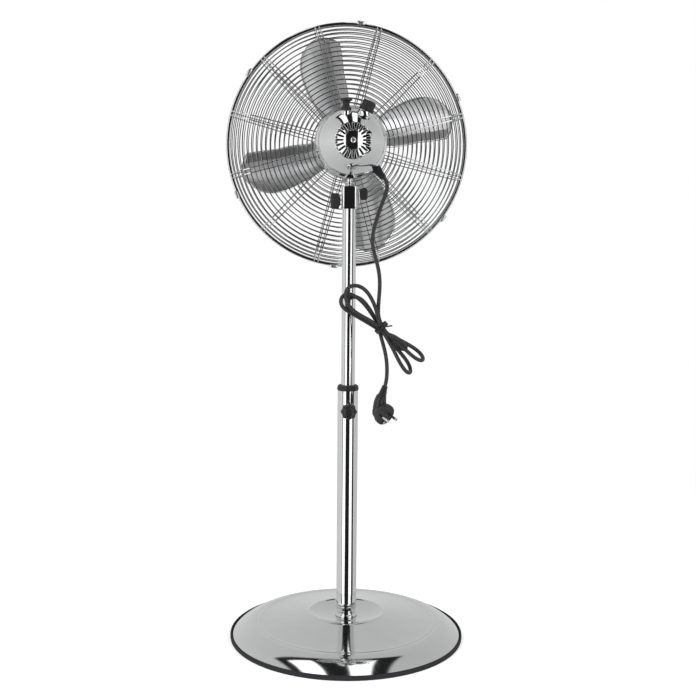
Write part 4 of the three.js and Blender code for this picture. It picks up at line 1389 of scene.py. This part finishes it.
@dataclass
class Pole:
    """The two chrome tubes, the black cap and the height lock."""

    outer: float = 18.0
    inner: float = 12.0
    wall: float = 1.2
    foot: float = 57.0
    top: float = 446.0
    mast_foot: float = 240.0
    mast_top: float = 779.0
    knob_height: float = 414.0
    knob_radius: float = 14.3
    boss_seat: float = 16.4

    def tube(
        self, name: str, body: str, node: str, radius: float, foot: float, top: float
    ) -> None:
        """Makes one tube with softened ends.

        Args:
            name: the piece's name.
            body: the body that it rides on.
            node: the node that it stands for.
            radius: its outer radius.
            foot: its lower end.
            top: its upper end.
        """
        bore = radius - self.wall
        profile = filleted(
            [
                (bore, foot),
                (radius, foot, 0.5),
                (radius, foot + 2),
                (radius, (foot + top) / 2),
                (radius, top - 2),
                (radius, top, 0.5),
                (bore, top),
            ]
        )
        form = Form().turn(profile, segments=96, loop=True)
        Piece(name, CHROME, body, "chrome", (node,), 60).build(form)

    def cap(self) -> None:
        """Makes the black cap ring."""
        seat = self.top + 0.3
        profile = [
            (self.inner + 0.3, seat - 15),
            (16.4, seat - 15),
            (16.4, seat),
            (18.7, seat, 0.4),
            (19.0, seat + 3, 1.5),
            (18.2, seat + 7, 1.2),
            (16.2, seat + 9, 0.8),
            (self.inner + 0.3, seat + 9),
        ]
        form = Form().turn(filleted(profile), segments=72, loop=True)
        Piece("pole_cap", PLASTIC, "stand", "black_plastic", ("tube_cap",)).build(form)

    def lock(self) -> None:
        """Makes the height lock's boss and lobed knob."""
        seat = Vector((0, -self.boss_seat, self.knob_height))
        place = straight(seat, seat - Vector((0, 1, 0)))
        boss = [(0, 0), (9.4, 0), (9.2, 1.6, 1.2), (8, 3.4, 1.2), (8, 10.4, 0.8), (0, 10.4)]
        form = Form().turn(filleted(boss), segments=48, matrix=place)
        Piece("lock_boss", CHROME, "stand", "chrome", ("height_boss",)).build(form)
        knob = [
            (0, 10.8),
            (8.2, 10.8, 0.6),
            (8.6, 14.4, 1.2),
            (13.4, 15.2, 0.8),
            (self.knob_radius, 17, 1.0),
            (self.knob_radius, 26, 1.4),
            (12.4, 28.4, 1.4),
            (9.4, 29.2, 0.8),
            (9.0, 28.4, 0.5),
            (6.5, 29.4, 1.0),
            (0, 30),
        ]
        wave = lobes(8, 1.7, 9.6, 13.2)
        form = Form().turn(filleted(knob), segments=128, wave=wave, matrix=place)
        Piece(
            "lock_knob", GLOSSY, "height_clamp", "black_plastic", ("height_knob",), 50
        ).build(form)

    def build(self) -> None:
        """Makes the pole."""
        self.tube("pole_outer", "stand", "outer_tube", self.outer, self.foot, self.top)
        self.tube(
            "pole_inner", "mast", "inner_tube", self.inner, self.mast_foot, self.mast_top
        )
        self.cap()
        self.lock()


# ---- Neck ----


@dataclass
class Neck:
    """The chrome socket on the pole, its two knobs and the stem that the head swings on."""

    bore: float = 12.3
    radius: float = 14.5
    foot: float = 762.0
    top: float = 801.0
    tilt: float = 787.0
    knob: float = 775.0
    stem: float = 5.0
    stem_top: float = 836.0
    squareness: float = 6.0
    arm_end: tuple[float, float] = (-3.722, -9.8)

    def socket(self) -> None:
        """Makes the socket with its ear."""
        profile = [
            (self.bore, self.foot),
            (self.radius + 0.8, self.foot, 0.5),
            (self.radius + 0.8, self.foot + 1.6, 0.6),
            (self.radius, self.foot + 3.4, 1),
            (self.radius, self.foot + 12),
            (self.radius, self.top - 12),
            (self.radius, self.top - 1, 1.2),
            (self.radius - 1, self.top, 0.4),
            (self.bore, self.top),
        ]

        def squared(radius: float, height: float, angle: float) -> float:
            """Flattens the outside towards a rounded square."""
            if radius < self.bore + 0.2:
                return radius
            power = self.squareness
            share = abs(math.cos(angle)) ** power + abs(math.sin(angle)) ** power
            return (radius - 0.9) * share ** (-1 / power)

        form = Form().turn(filleted(profile), segments=128, loop=True, wave=squared)
        outline = []
        for first, height in ((-90, 790), (90, 775)):
            for angle in range(first, first + 181, 15):
                turn = math.radians(angle)
                spot = (13.6, 7 * math.sin(turn), height + 5 * math.cos(turn))
                outline.append(Vector(spot))
        form.plate(outline, Vector((3.6, 0, 0)), 0.5)
        for height in (self.knob, self.tilt):
            rivet = [(0, 0), (3.2, 0), (3.2, 1.0, 0.5), (1.4, 1.5), (1.4, 0.4), (0, 0.4)]
            place = straight(Vector((17, 0, height)), Vector((20, 0, height)))
            form.turn(filleted(rivet), segments=24, matrix=place)
        Piece("neck_socket", CHROME, "mast", "chrome", ("head_socket",), 50).build(form)

    def grips(self) -> None:
        """Makes the socket's knob and the tilt knob."""
        place = straight(Vector((-15.5, 0, self.knob)), Vector((-40, 0, self.knob)))
        profile = [
            (0, 0),
            (7, 0, 0.5),
            (9, 2, 0.8),
            (12.6, 2.6, 0.8),
            (14.2, 4.6, 1.2),
            (14.2, 13.5, 1.6),
            (12, 16.6, 1.8),
            (8, 17.2, 0.6),
            (0, 17.2),
        ]
        wave = lobes(10, 1.9, 10.5, 13)
        form = Form().turn(filleted(profile), segments=120, wave=wave, matrix=place)
        Piece(
            "socket_grip", PLASTIC, "socket_clamp", "black_plastic", ("socket_knob",), 50
        ).build(form)
        place = straight(Vector((17.6, 0, self.tilt)), Vector((40, 0, self.tilt)))
        profile = [
            (0, 0),
            (6, 0, 0.4),
            (6.4, 1.2, 0.4),
            (9.4, 1.6, 0.6),
            (10.5, 3, 1),
            (10.5, 11, 1.4),
            (8.6, 13.4, 1.4),
            (0, 13.6),
        ]
        wave = lobes(10, 1.5, 7.5, 9.6)
        form = Form().turn(filleted(profile), segments=120, wave=wave, matrix=place)
        Piece(
            "tilt_grip", PLASTIC, "tilt_clamp", "black_plastic", ("tilt_knob",), 50
        ).build(form)

    def pin(self) -> None:
        """Makes the stem with its washer, eye and inner arm."""
        foot = self.tilt
        profile = [
            (0, foot - 6),
            (self.stem, foot - 4, 1),
            (self.stem, foot + 17, 0.4),
            (8, foot + 17.8, 0.5),
            (8, foot + 20.2, 0.5),
            (self.stem, foot + 21, 0.4),
            (self.stem, self.stem_top - 3.4, 0.4),
            (7.3, self.stem_top - 3, 0.5),
            (7.3, self.stem_top - 0.4, 0.5),
            (4, self.stem_top - 0.2),
            (4, self.stem_top + 5, 0.6),
            (0, self.stem_top + 5.2),
        ]
        form = Form().turn(filleted(profile), segments=48)
        eye = filleted([(0, -7.4), (6.2, -7.4, 0.6), (6.2, 7.4, 0.6), (0, 7.4)])
        centre = Vector((0, 0, foot))
        form.turn(eye, segments=40, matrix=straight(centre, centre + Vector((1, 0, 0))))
        level = self.stem_top - 1.6
        arm = [Vector((x, y, level)) for x, y in ((0, 0), (-1.8, -5), self.arm_end)]
        form.sweep(smooth_path(arm, 5), 3.2, 16, flat=0.4)
        Piece("head_stem", CHROME, "neck", "chrome", ("pivot_stem",), 45).build(form)

    def build(self) -> None:
        """Makes the neck."""
        self.socket()
        self.grips()
        self.pin()


# ---- Housing ----


@dataclass
class Head:
    """What all the pieces round the motor share: the height of the motor's axis."""

    motor: float = 873.0

    def centred(self) -> Matrix:
        """The shift to the motor's axis."""
        return Matrix.Translation((0, 0, self.motor))


@dataclass
class DomeTop(Head):
    """Where the pull knob and the speed dial stand on the dome."""

    back: float = -79.0
    pull_aside: float = -10.5
    dial_lean: float = 24.0

    def dial_way(self) -> Vector:
        """The direction that the dial faces."""
        turn = math.radians(self.dial_lean)
        return Vector((math.sin(turn), 0, math.cos(turn)))


@dataclass
class Housing(DomeTop):
    """The bullet-shaped motor housing: front drum, seal and slotted rear dome."""

    radius: float = 61.0
    rear: float = -14.0
    front: float = 32.5
    collar: float = 24.0
    collar_front: float = 50.0
    dome: float = 60.5
    dome_front: float = -16.0
    shoulder: float = -38.0
    length: float = 70.0
    slots: int = 20
    slot_inner: float = 16.0
    slot_outer: float = 29.0
    slot_width: float = 2.8
    wall: float = 1.6
    pull_seat: float = 49.0
    dial_seat: float = 52.6

    def depth(self, radius: float) -> float:
        """How far back the dome reaches at a radius."""
        share = min(1.0, radius / self.dome)
        return self.shoulder - self.length * math.sqrt(max(0.0, 1 - share * share))

    def drum(self) -> None:
        """Makes the front drum with its collar."""
        profile = [
            (self.radius - 2, self.rear),
            (self.radius, self.rear, 0.6),
            (self.radius, 0),
            (self.radius, self.front - 9),
            (self.radius - 0.4, self.front - 4, 3),
            (self.radius - 3.4, self.front - 0.6, 3),
            (self.radius - 9, self.front, 3),
            (self.collar + 4, self.front),
            (self.collar, self.front + 1.2, 1.5),
            (self.collar, self.front + 9),
            (self.collar, self.collar_front, 0.8),
            (self.collar - 3, self.collar_front),
            (self.collar - 3, self.front - 2),
            (self.radius - 10, self.front - 2),
            (self.radius - 2, self.front - 10),
        ]
        form = Form().turn(
            filleted(profile, 6), Axis.AHEAD, 144, loop=True, matrix=self.centred()
        )
        Piece("motor_drum", CHROME, "head", "chrome", ("front_shell",), 60).build(form)
        seal = [
            (self.dome - 3.4, self.dome_front + 0.2),
            (self.dome - 0.5, self.dome_front + 0.2, 0.3),
            (self.dome - 0.5, self.rear - 0.2, 0.3),
            (self.dome - 3.4, self.rear - 0.2),
        ]
        form = Form().turn(filleted(seal), Axis.AHEAD, 144, loop=True, matrix=self.centred())
        Piece("drum_seal", RUBBER, "head", "black_rubber", ("housing_seal",)).build(form)

    def slot_angles(self, radius: float, width: float, between: int) -> list[float]:
        """The angles round the dome at one radius, gathered at the slots' edges.

        Args:
            radius: the radius.
            width: the slots' width there.
            between: columns between two slots.

        Returns:
            The angles, slot by slot.
        """
        sector = 2 * math.pi / self.slots
        half = math.asin(min(0.9, width / 2 / radius))
        made = []
        for k in range(self.slots):
            centre = k * sector
            made += [centre - half, centre, centre + half]
            room = sector - 2 * half
            made += [centre + half + room * (j + 1) / between for j in range(between - 1)]
        return made

    def seats(self) -> Form:
        """The short necks under the pull knob and the speed dial."""
        form = Form()
        centre = Vector((0, self.back, self.motor))
        pull = centre + Vector((self.pull_aside, 0, 0))
        for spot, way, top, wide in (
            (pull, Z, self.pull_seat, 8.2),
            (centre, self.dial_way(), self.dial_seat, 12.9),
        ):
            place = straight(spot, spot + way)
            neck = [(wide + 0.8, top - 11), (wide + 0.3, top - 1.2), (wide - 0.5, top - 0.1)]
            form.turn([*neck, (wide - 2, top - 0.1)], segments=64, matrix=place)
        return form

    def shell(self) -> None:
        """Makes the slotted dome with thickness."""
        between = 4
        inner, outer = self.slot_inner, self.slot_outer
        half = self.slot_width / 2
        ends = [0.0, 0.35, 0.8, half]
        widths: list[tuple[float, float]] = []
        for radius in (3.2, 5.5, 9, 13, inner - 1.2):
            widths.append((radius, 0.5 * self.slot_width * radius / inner))
        slot_rows = []
        for k, reach in enumerate(ends):
            share = math.sqrt(max(0.02, 1 - (1 - reach / half) ** 2))
            slot_rows.append((inner + reach, self.slot_width * share))
        for k in range(1, 6):
            radius = inner + half + (outer - inner - 2 * half) * k / 6
            slot_rows.append((radius, self.slot_width))
        for reach in reversed(ends):
            share = math.sqrt(max(0.02, 1 - (1 - reach / half) ** 2))
            slot_rows.append((outer - reach, self.slot_width * share))
        opening = range(len(widths), len(widths) + len(slot_rows) - 1)
        widths += slot_rows
        for radius in (outer + 1.5, outer + 4, 37, 41, 45, 49, 52.5, 55.5, 57.8, 59.4, 60.2):
            widths.append((radius, self.slot_width))
        rows = []
        for radius, width in widths:
            angles = self.slot_angles(radius, width, between)
            back = self.depth(radius)
            rows.append(
                [Vector((radius * math.cos(a), back, radius * math.sin(a))) for a in angles]
            )
        for back in (self.shoulder, -31, -24, self.dome_front):
            angles = self.slot_angles(self.dome, self.slot_width, between)
            rows.append(
                [Vector((self.dome * math.cos(a), back, self.dome * math.sin(a))) for a in angles]
            )
        columns = 2 + between
        form = Form().grid(
            rows, keep=lambda i, j: not (i in opening and j % columns in (0, 1))
        )
        form.move(self.centred())
        form.add(self.seats())
        made = Piece("motor_dome", CHROME, "head", "chrome", ("rear_cover",), 60).build(form)
        thick = made.modifiers.new("wall", "SOLIDIFY")
        thick.thickness = self.wall * METRE
        thick.offset = -1
        thick.use_even_offset = True

    def screw(self) -> None:
        """Makes the cross-head screw in the dome's centre."""
        tip = self.shoulder - self.length
        place = straight(Vector((0, tip + 1, self.motor)), Vector((0, tip - 9, self.motor)))
        rows = []
        steps, half_slot, deep = 48, 0.55, 1.5
        for radius, lift in (
            (4.8, 0.4),
            (4.7, 1.5),
            (4.1, 2.5),
            (3.0, 3.1),
            (1.9, 3.3),
            (1.2, 3.3),
            (0.5, 3.3),
        ):
            row = []
            for j in range(steps):
                angle = 2 * math.pi * j / steps
                x, y = radius * math.cos(angle), radius * math.sin(angle)
                cross = min(abs(x), abs(y)) < half_slot and radius < 3.4
                row.append(Vector((x, y, lift - (deep if cross else 0))))
            rows.append(row)
        form = Form().grid(rows)
        last = (len(rows) - 1) * steps
        form.faces.append(tuple(range(last, last + steps)))
        form.turn([(4.8, 0.4), (2.4, 0.4), (2.4, -8), (0, -8)], segments=steps)
        form.move(place)
        Piece(
            "dome_screw", CHROME, "head", "chrome", ("rear_cover_screw",), 25
        ).build(form)

    def build(self) -> None:
        """Makes the housing."""
        self.drum()
        self.shell()
        self.screw()


@dataclass
class Controls(DomeTop):
    """The pull knob that stops the swing, and the speed dial."""

    pull_seat: float = 51.6
    dial_seat: float = 53.4
    dial_radius: float = 12.5

    def pull(self) -> None:
        """Makes the spool-shaped pull knob."""
        profile = [
            (0, -4.5),
            (8.0, -4.5, 0.4),
            (8.4, -0.5, 0.6),
            (8.4, 1.6, 0.7),
            (6.4, 3.2, 1.2),
            (5.0, 5.4, 0.8),
            (5.0, 10.6, 0.8),
            (6.6, 12.4, 1.0),
            (9.6, 13.3, 0.6),
            (10, 14.4, 0.5),
            (10, 16, 0.8),
            (8.6, 17.0, 0.6),
            (0, 17.2),
        ]

        def ribbed(radius: float, height: float, angle: float) -> float:
            """Adds the ribs round the waist."""
            share = 1.0 if 4.5 < height < 12.5 and radius < 6.6 else 0.0
            return radius + 0.5 * share * math.cos(12 * angle)

        foot = Vector((self.pull_aside, self.back, self.motor + self.pull_seat))
        form = Form().turn(
            filleted(profile), segments=96, wave=ribbed, matrix=straight(foot, foot + Z)
        )
        Piece(
            "pull_knob",
            PLASTIC,
            "oscillation_button",
            "black_plastic",
            ("oscillation_knob",),
            50,
        ).build(form)

    def dial(self) -> None:
        """Makes the speed dial and the bezel that it stands on."""
        way = self.dial_way()
        seat = Vector((0, self.back, self.motor)) + way * (self.dial_seat + 0.3)
        place = straight(seat, seat + way)
        bezel = [
            (0, -14),
            (6, -14),
            (6, -0.2),
            (12.4, -0.2, 0.3),
            (12.6, 0.6, 0.4),
            (12.2, 1.7, 0.4),
            (0, 1.7),
        ]
        form = Form().turn(filleted(bezel), segments=72, matrix=place)
        Piece("dial_bezel", PLASTIC, "head", "black_plastic", ("speed_switch",)).build(form)
        profile = [
            (0, 2.0),
            (self.dial_radius, 2.0, 0.4),
            (self.dial_radius, 3.6, 0.6),
            (11.4, 4.4, 0.6),
            (11.4, 14.4, 1.4),
            (10, 16.4, 1.2),
            (6.4, 16.8, 0.6),
            (5.8, 16.2, 0.4),
            (0, 16.2),
        ]

        def fluted(radius: float, height: float, angle: float) -> float:
            """Adds the flutes to the dial's side."""
            share = 1.0 if height > 4.6 and radius > 9.4 else 0.0
            return radius - 1.2 * share * (0.5 + 0.5 * math.cos(16 * angle)) ** 2

        form = Form().turn(filleted(profile), segments=160, wave=fluted, matrix=place)
        pointer = [
            place @ Vector(corner)
            for corner in ((-0.9, 2, 16), (0.9, 2, 16), (0.9, 9.4, 16), (-0.9, 9.4, 16))
        ]
        form.plate(pointer, way * 1.3, 0.2)
        grip = Piece("speed_dial_grip", PLASTIC, "speed_dial", "black_plastic", ("speed_knob",), 50)
        grip.build(form)

    def build(self) -> None:
        """Makes the controls."""
        self.pull()
        self.dial()


# ---- Guard ----


@dataclass
class Guard(Head):
    """The wire guard in two halves, its rim band, clips and badge."""

    radius: float = 216.0
    rim: float = 97.0
    rim_width: float = 19.0
    wire: float = 1.0
    thick_wire: float = 1.05
    rim_wire: float = 2.0
    first_ring: float = 48.0
    pitch: float = 8.1
    rings: int = 18
    side_rings: tuple[float, ...] = (193.5, 200.5, 206.5)
    spokes: int = 12
    spoke_start: float = 15.0
    hub: float = 44.0
    hub_bore: float = 24.6
    rear_line: tuple[Corner, ...] = ((42, 36), (188, 54), (206, 67), (212, 88))
    front_line: tuple[Corner, ...] = ((42, 137), (188, 129), (206, 119), (212, 106))
    clips: int = 6
    clip_start: float = 24.0
    badge_radius: float = 43.0
    badge_rear: float = 139.0
    spoke_radii: tuple[float, ...] = (40, 70, 105, 140, 170, 184, 191, 198, 204, 208, 210.6)

    @staticmethod
    def across(line: Sequence[Corner], radius: float) -> float:
        """Where a guard's section line lies along Y at a radius."""
        for (r0, y0), (r1, y1) in zip(line, line[1:]):
            if radius <= r1:
                return y0 + (y1 - y0) * (radius - r0) / (r1 - r0)
        return line[-1][1]

    def hairpin(self, line: Sequence[Corner], outward: float, angle: float) -> list[Vector]:
        """One spoke: a wire out to the rim, across and back.

        Args:
            line: the guard's section line.
            outward: how far the wire lies outside the rings, along Y.
            angle: the spoke's direction.

        Returns:
            The wire's path.
        """
        turn = math.radians(angle)
        way = Vector((math.cos(turn), 0, math.sin(turn)))
        side = Vector((-math.sin(turn), 0, math.cos(turn)))
        made = []
        for sign in (1, -1):
            leg = []
            for radius in self.spoke_radii:
                half = 6.2 - 2.6 * (radius - 40) / 170
                slope = min(1.0, max(0.0, (radius - 188) / 20))
                spot = way * (radius + 1.9 * slope) + side * half * sign
                spot.y = self.across(line, radius) + outward * (1 - slope * 0.8)
                leg.append(spot)
            made += leg if sign == 1 else leg[::-1]
            if sign == 1:
                for k in range(1, 6):
                    bend = math.pi * k / 6
                    spot = way * (212.2 + 0.2 * math.sin(bend)) + side * 3.6 * math.cos(bend)
                    spot.y = self.across(line, 211.6) - outward * 1.3 * math.sin(bend)
                    made.append(spot)
        return made

    def half(
        self, name: str, node: str, line: Sequence[Corner], outward: float, plates: Sequence[float]
    ) -> None:
        """Makes one half of the guard.

        Args:
            name: the piece's name.
            node: the node that it stands for.
            line: its section line.
            outward: the side of the rings that the spokes lie on.
            plates: the hub plate's two faces along Y.
        """
        form = Form()
        radii = [self.first_ring + self.pitch * k for k in range(self.rings)]
        for radius in radii:
            form.hoop(radius, self.across(line, radius), self.wire, 120, 6)
        for radius in self.side_rings:
            form.hoop(radius, self.across(line, radius), self.wire, 144, 6)
        sign = -1 if outward < 0 else 1
        rim = self.rim + sign * (self.rim_width / 2 - self.rim_wire)
        form.hoop(self.radius - 3.9, rim, self.rim_wire, 160, 8)
        for k in range(self.spokes):
            angle = self.spoke_start + 360 * k / self.spokes
            form.sweep(
                self.hairpin(line, outward, angle), self.thick_wire, 6, start=Vector((0, 1, 0))
            )
        low, high = plates
        plate = filleted(
            [
                (self.hub_bore, low),
                (self.hub - 3, low, 0.8),
                (self.hub, low + 1.4, 0.8),
                (self.hub, high - 1.2, 0.8),
                (self.hub - 3, high, 0.8),
                (34, high, 0.5),
                (33, high - 1, 0.5),
                (self.hub_bore, high - 1),
            ]
        )
        form.turn(plate, Axis.AHEAD, 96, loop=True)
        form.move(self.centred())
        Piece(name, WIRE_CHROME, "head", "chrome", (node,), 50).build(form)

    def band(self) -> None:
        """Makes the rim band with its rolled lips."""
        near, far = self.rim - self.rim_width / 2, self.rim + self.rim_width / 2
        outer, inner = self.radius, self.radius - 1.3
        section = [
            (self.radius - 5.2, near - 1.3),
            (self.radius - 1.6, near - 1.3, 0.9),
            (outer, near + 1.0, 1.2),
            (outer, self.rim - 4, 1),
            (outer - 0.8, self.rim, 2.5),
            (outer, self.rim + 4, 1),
            (outer, far - 1.0, 1.2),
            (self.radius - 1.6, far + 1.3, 0.9),
            (self.radius - 5.2, far + 1.3),
            (self.radius - 5.2, far + 0.4),
            (inner - 0.9, far + 0.2, 0.5),
            (inner, far - 1.4, 0.6),
            (inner - 0.8, self.rim, 2.5),
            (inner, near + 1.4, 0.6),
            (inner - 0.9, near - 0.2, 0.5),
            (self.radius - 5.2, near - 0.4),
        ]
        form = Form().turn(
            filleted(section, 3), Axis.AHEAD, 240, loop=True, matrix=self.centred()
        )
        Piece("rim_band", CHROME, "head", "chrome", ("guard_rim",), 60).build(form)

    def latch(self, number: int) -> None:
        """Makes one clip over the band."""
        near, far = self.rim - self.rim_width / 2, self.rim + self.rim_width / 2
        low = self.radius + 0.35
        path = [
            Vector((low - 3.4, near - 3.0, 0)),
            Vector((low - 1.0, near - 3.6, 0)),
            Vector((low + 1.6, near - 2.6, 0)),
            Vector((low + 1.4, near + 2, 0)),
            Vector((low + 0.8, self.rim - 4, 0)),
            Vector((low + 1.0, self.rim + 2, 0)),
            Vector((low + 1.9, far - 4, 0)),
            Vector((low + 2.6, far - 1, 0)),
        ]
        line = smooth_path(path, 5)
        rows = []
        for k, spot in enumerate(line):
            before, after = line[max(k - 1, 0)], line[min(k + 1, len(line) - 1)]
            along = unit(after - before)
            out = Vector((along.y, -along.x, 0))
            share = k / (len(line) - 1)
            half = 6.9 - 2.2 * max(0.0, share - 0.75) / 0.25
            row = []
            for width, lift in (
                (-1, 0.15),
                (-0.9, -0.55),
                (0.9, -0.55),
                (1, 0.15),
                (0.9, 0.55),
                (0.35, 0.9),
                (-0.35, 0.9),
                (-0.9, 0.55),
            ):
                row.append(spot + Z * half * width + out * lift)
            rows.append(row)
        form = Form().grid(rows, caps=True)
        hinge = [Vector((low + 1.5, far - 1.4, z)) for z in (-6.4, -3, 0, 3, 6.4)]
        form.sweep(hinge, 1.25, 12, start=Vector((0, 1, 0)))
        turn = Matrix.Rotation(-math.radians(self.clip_start + 60 * (number - 1)), 4, "Y")
        form.move(self.centred() @ turn)
        Piece(
            f"rim_clip_{number}",
            PRESSED,
            f"clip_{number}",
            "satin_aluminium",
            (f"guard_clip_{number}",),
            35,
        ).build(form)

    def badge(self) -> None:
        """Makes the plain front badge with turned grooves."""
        rear = self.badge_rear + 0.3
        profile: list[Corner] = [
            (0, rear),
            (self.badge_radius, rear, 0.4),
            (self.badge_radius, rear + 1.6, 1.0),
            (self.badge_radius - 7, rear + 4.6, 2.0),
        ]
        for k in range(5):
            radius = 34 - 1.6 * k
            profile += [(radius, rear + 4.9 + 0.1 * k), (radius - 0.8, rear + 4.5 + 0.1 * k)]
        profile += [(24, rear + 5.6, 1), (12, rear + 6.4, 2), (0, rear + 6.6)]
        form = Form().turn(filleted(profile), Axis.AHEAD, 96, matrix=self.centred())
        Piece("guard_badge", SPUN, "head", "chrome", ("front_badge",), 40).build(form)

    def build(self) -> None:
        """Makes the guard."""
        self.half("guard_rear", "rear_guard", self.rear_line, -2.2, (32.9, 38.4))
        self.half("guard_front", "front_guard", self.front_line, 2.2, (135.6, 138.9))
        self.band()
        for number in range(1, self.clips + 1):
            self.latch(number)
        self.badge()


# ---- Blades ----


@dataclass
class Blades(Head):
    """The four satin blades on their hub."""

    middle: float = 80.0
    count: int = 4
    start: float = 15.0
    pitch: float = 27.0
    strip_pitch: float = 9.0
    hub: float = 30.0
    hub_rear: float = 62.0
    hub_front: float = 92.0
    thickness: float = 1.4
    lead: tuple[Corner, ...] = ((26, -34), (70, -17), (125, -12), (178, -10.5))
    trail: tuple[Corner, ...] = ((26, 36), (65, 29), (105, 25), (145, 20), (178, 12))
    strip: float = 17.0
    root: float = 25.0
    tip: float = 178.0
    tip_reach: float = 14.5
    rows: int = 30
    columns: int = 22
    crease: int = 6

    @staticmethod
    def angle_at(line: Sequence[Corner], radius: float) -> float:
        """The angle of an edge at a radius."""
        for (r0, a0), (r1, a1) in zip(line, line[1:]):
            if radius <= r1:
                share = (radius - r0) / (r1 - r0)
                return a0 + (a1 - a0) * share * (0.6 + 0.4 * share)
        return line[-1][1]

    def blade(self) -> Form:
        """One blade along +X, with a flatter strip along its straight edge."""
        columns, crease = self.columns, self.crease
        gentle = math.tan(math.radians(self.strip_pitch))
        rows = []
        for i in range(self.rows + 1):
            out = i / self.rows
            row = []
            radius = self.root + (self.tip - self.root) * out
            low = math.radians(self.angle_at(self.lead, radius))
            high = math.radians(self.angle_at(self.trail, radius))
            low_z, high_z = radius * math.sin(low), radius * math.sin(high)
            fold = low_z + self.strip * min(1.0, (high_z - low_z) / 60)
            steep = math.tan(math.radians(self.pitch + 3 - 6 * out))
            bow = steep * (fold + (high_z - fold) * 0.15) * 0.35
            rounded = max(0.0, (out - 0.55) / 0.45) ** 1.6
            for j in range(columns + 1):
                if j <= crease:
                    z = low_z + (fold - low_z) * j / crease
                else:
                    z = fold + (high_z - fold) * (j - crease) / (columns - crease)
                v = (z - low_z) / (high_z - low_z)
                reach = self.tip_reach * max(0.0, 1 - abs(2 * v - 0.95) ** 2.4)
                x = math.sqrt(max(1.0, radius * radius - z * z)) + reach * rounded
                share = (max(z, fold) - fold) / max(1e-6, high_z - fold)
                y = -steep * max(z, fold) - gentle * (min(z, fold) - fold)
                y -= 3.0 * math.sin(math.pi * share) - bow
                row.append(Vector((x, y * 0.92, z)))
            rows.append(row)
        return Form().grid(rows, wrap=False)

    def build(self) -> None:
        """Makes the blades and the hub."""
        form = Form()
        one = self.blade()
        for k in range(self.count):
            turn = Matrix.Rotation(-math.radians(self.start + 360 * k / self.count), 4, "Y")
            form.add(one, Matrix.Translation((0, self.middle, 0)) @ turn)
        form.move(self.centred())
        blades = Piece("blade_set", BRUSHED, "spinner", "satin_aluminium", ("fan_blade",), 14)
        made = blades.build(form)
        thick = made.modifiers.new("wall", "SOLIDIFY")
        thick.thickness = self.thickness * METRE
        thick.offset = 0
        profile = [
            (4.3, self.hub_rear + 0.2),
            (self.hub - 2, self.hub_rear + 0.2),
            (self.hub, self.hub_rear + 2.2, 1),
            (self.hub, self.hub_front - 6, 0.5),
            (self.hub - 1.8, self.hub_front - 2, 2),
            (self.hub - 6, self.hub_front - 0.2, 1),
            (4.3, self.hub_front - 0.2),
        ]
        hub = Form().turn(
            filleted(profile),
            Axis.AHEAD,
            96,
            loop=True,
            matrix=self.centred(),
        )
        Piece("blade_hub", BRUSHED, "spinner", "satin_aluminium", (), 40).build(hub)
        nut = [
            (4.3, self.hub_front + 0.3),
            (15, self.hub_front + 0.3, 0.6),
            (14.4, self.hub_front + 6, 1),
            (12, self.hub_front + 13, 2),
            (8, self.hub_front + 17, 2),
            (0, self.hub_front + 18),
        ]

        def ribbed(radius: float, height: float, angle: float) -> float:
            """Adds grip ribs to the nut."""
            share = 1.0 if radius > 10 else 0.0
            return radius - 0.7 * share * (0.5 + 0.5 * math.cos(12 * angle))

        form = Form().turn(
            filleted(nut),
            Axis.AHEAD,
            96,
            wave=ribbed,
            matrix=self.centred(),
        )
        Piece("spinner_nut", PLASTIC, "spinner", "black_plastic", ("blade_nut",), 45).build(form)


# ---- Pieces inside ----


@dataclass
class Inside:
    """The carried-over pieces of the part, which keep their shape and get finishes."""

    finishes: Mapping[str, Finish] = field(
        default_factory=lambda: {
            "base_weight": IRON,
            "base_bolt": STEEL,
            "guide_bush": PLASTIC,
            "capacitor": PLASTIC,
            "stator": LAMINATED,
            "winding_rear": COPPER,
            "winding_front": COPPER,
            "rear_bracket": STEEL,
            "front_bracket": STEEL,
            "rear_bearing": BRASS,
            "front_bearing": BRASS,
            "swivel_boss": STEEL,
            "rotor": LAMINATED,
            "motor_shaft": STEEL,
            "gearbox": IRON,
            "worm_wheel": BRASS,
            "crank": STEEL,
            "link_bar": STEEL,
            "guard_nut": PLASTIC,
        }
    )
    nodes: Mapping[str, bpy.types.Object] = field(default_factory=lambda: frame["nodes"])

    def build(self) -> None:
        """Gives every piece that is still shown its finish."""
        for name, node in self.nodes.items():
            finish = self.finishes.get(name)
            if finish is None:
                continue
            node.data.materials.clear()
            node.data.materials.append(finish.material())
            LOG.info("%s keeps its shape in %s", name, finish.name)


def main() -> None:
    """Builds the studio and the fan, in order."""
    logging.basicConfig(level=logging.INFO, format="%(message)s")
    studio = Studio()
    studio.build()
    for assembly in (Lead(), Base(), Pole(), Neck(), Housing(), Controls(), Guard(), Blades()):
        LOG.info("building %s", type(assembly).__name__)
        assembly.build()
    Inside().build()
    studio.blade_lamps()


if __name__ == "__main__":
    main()
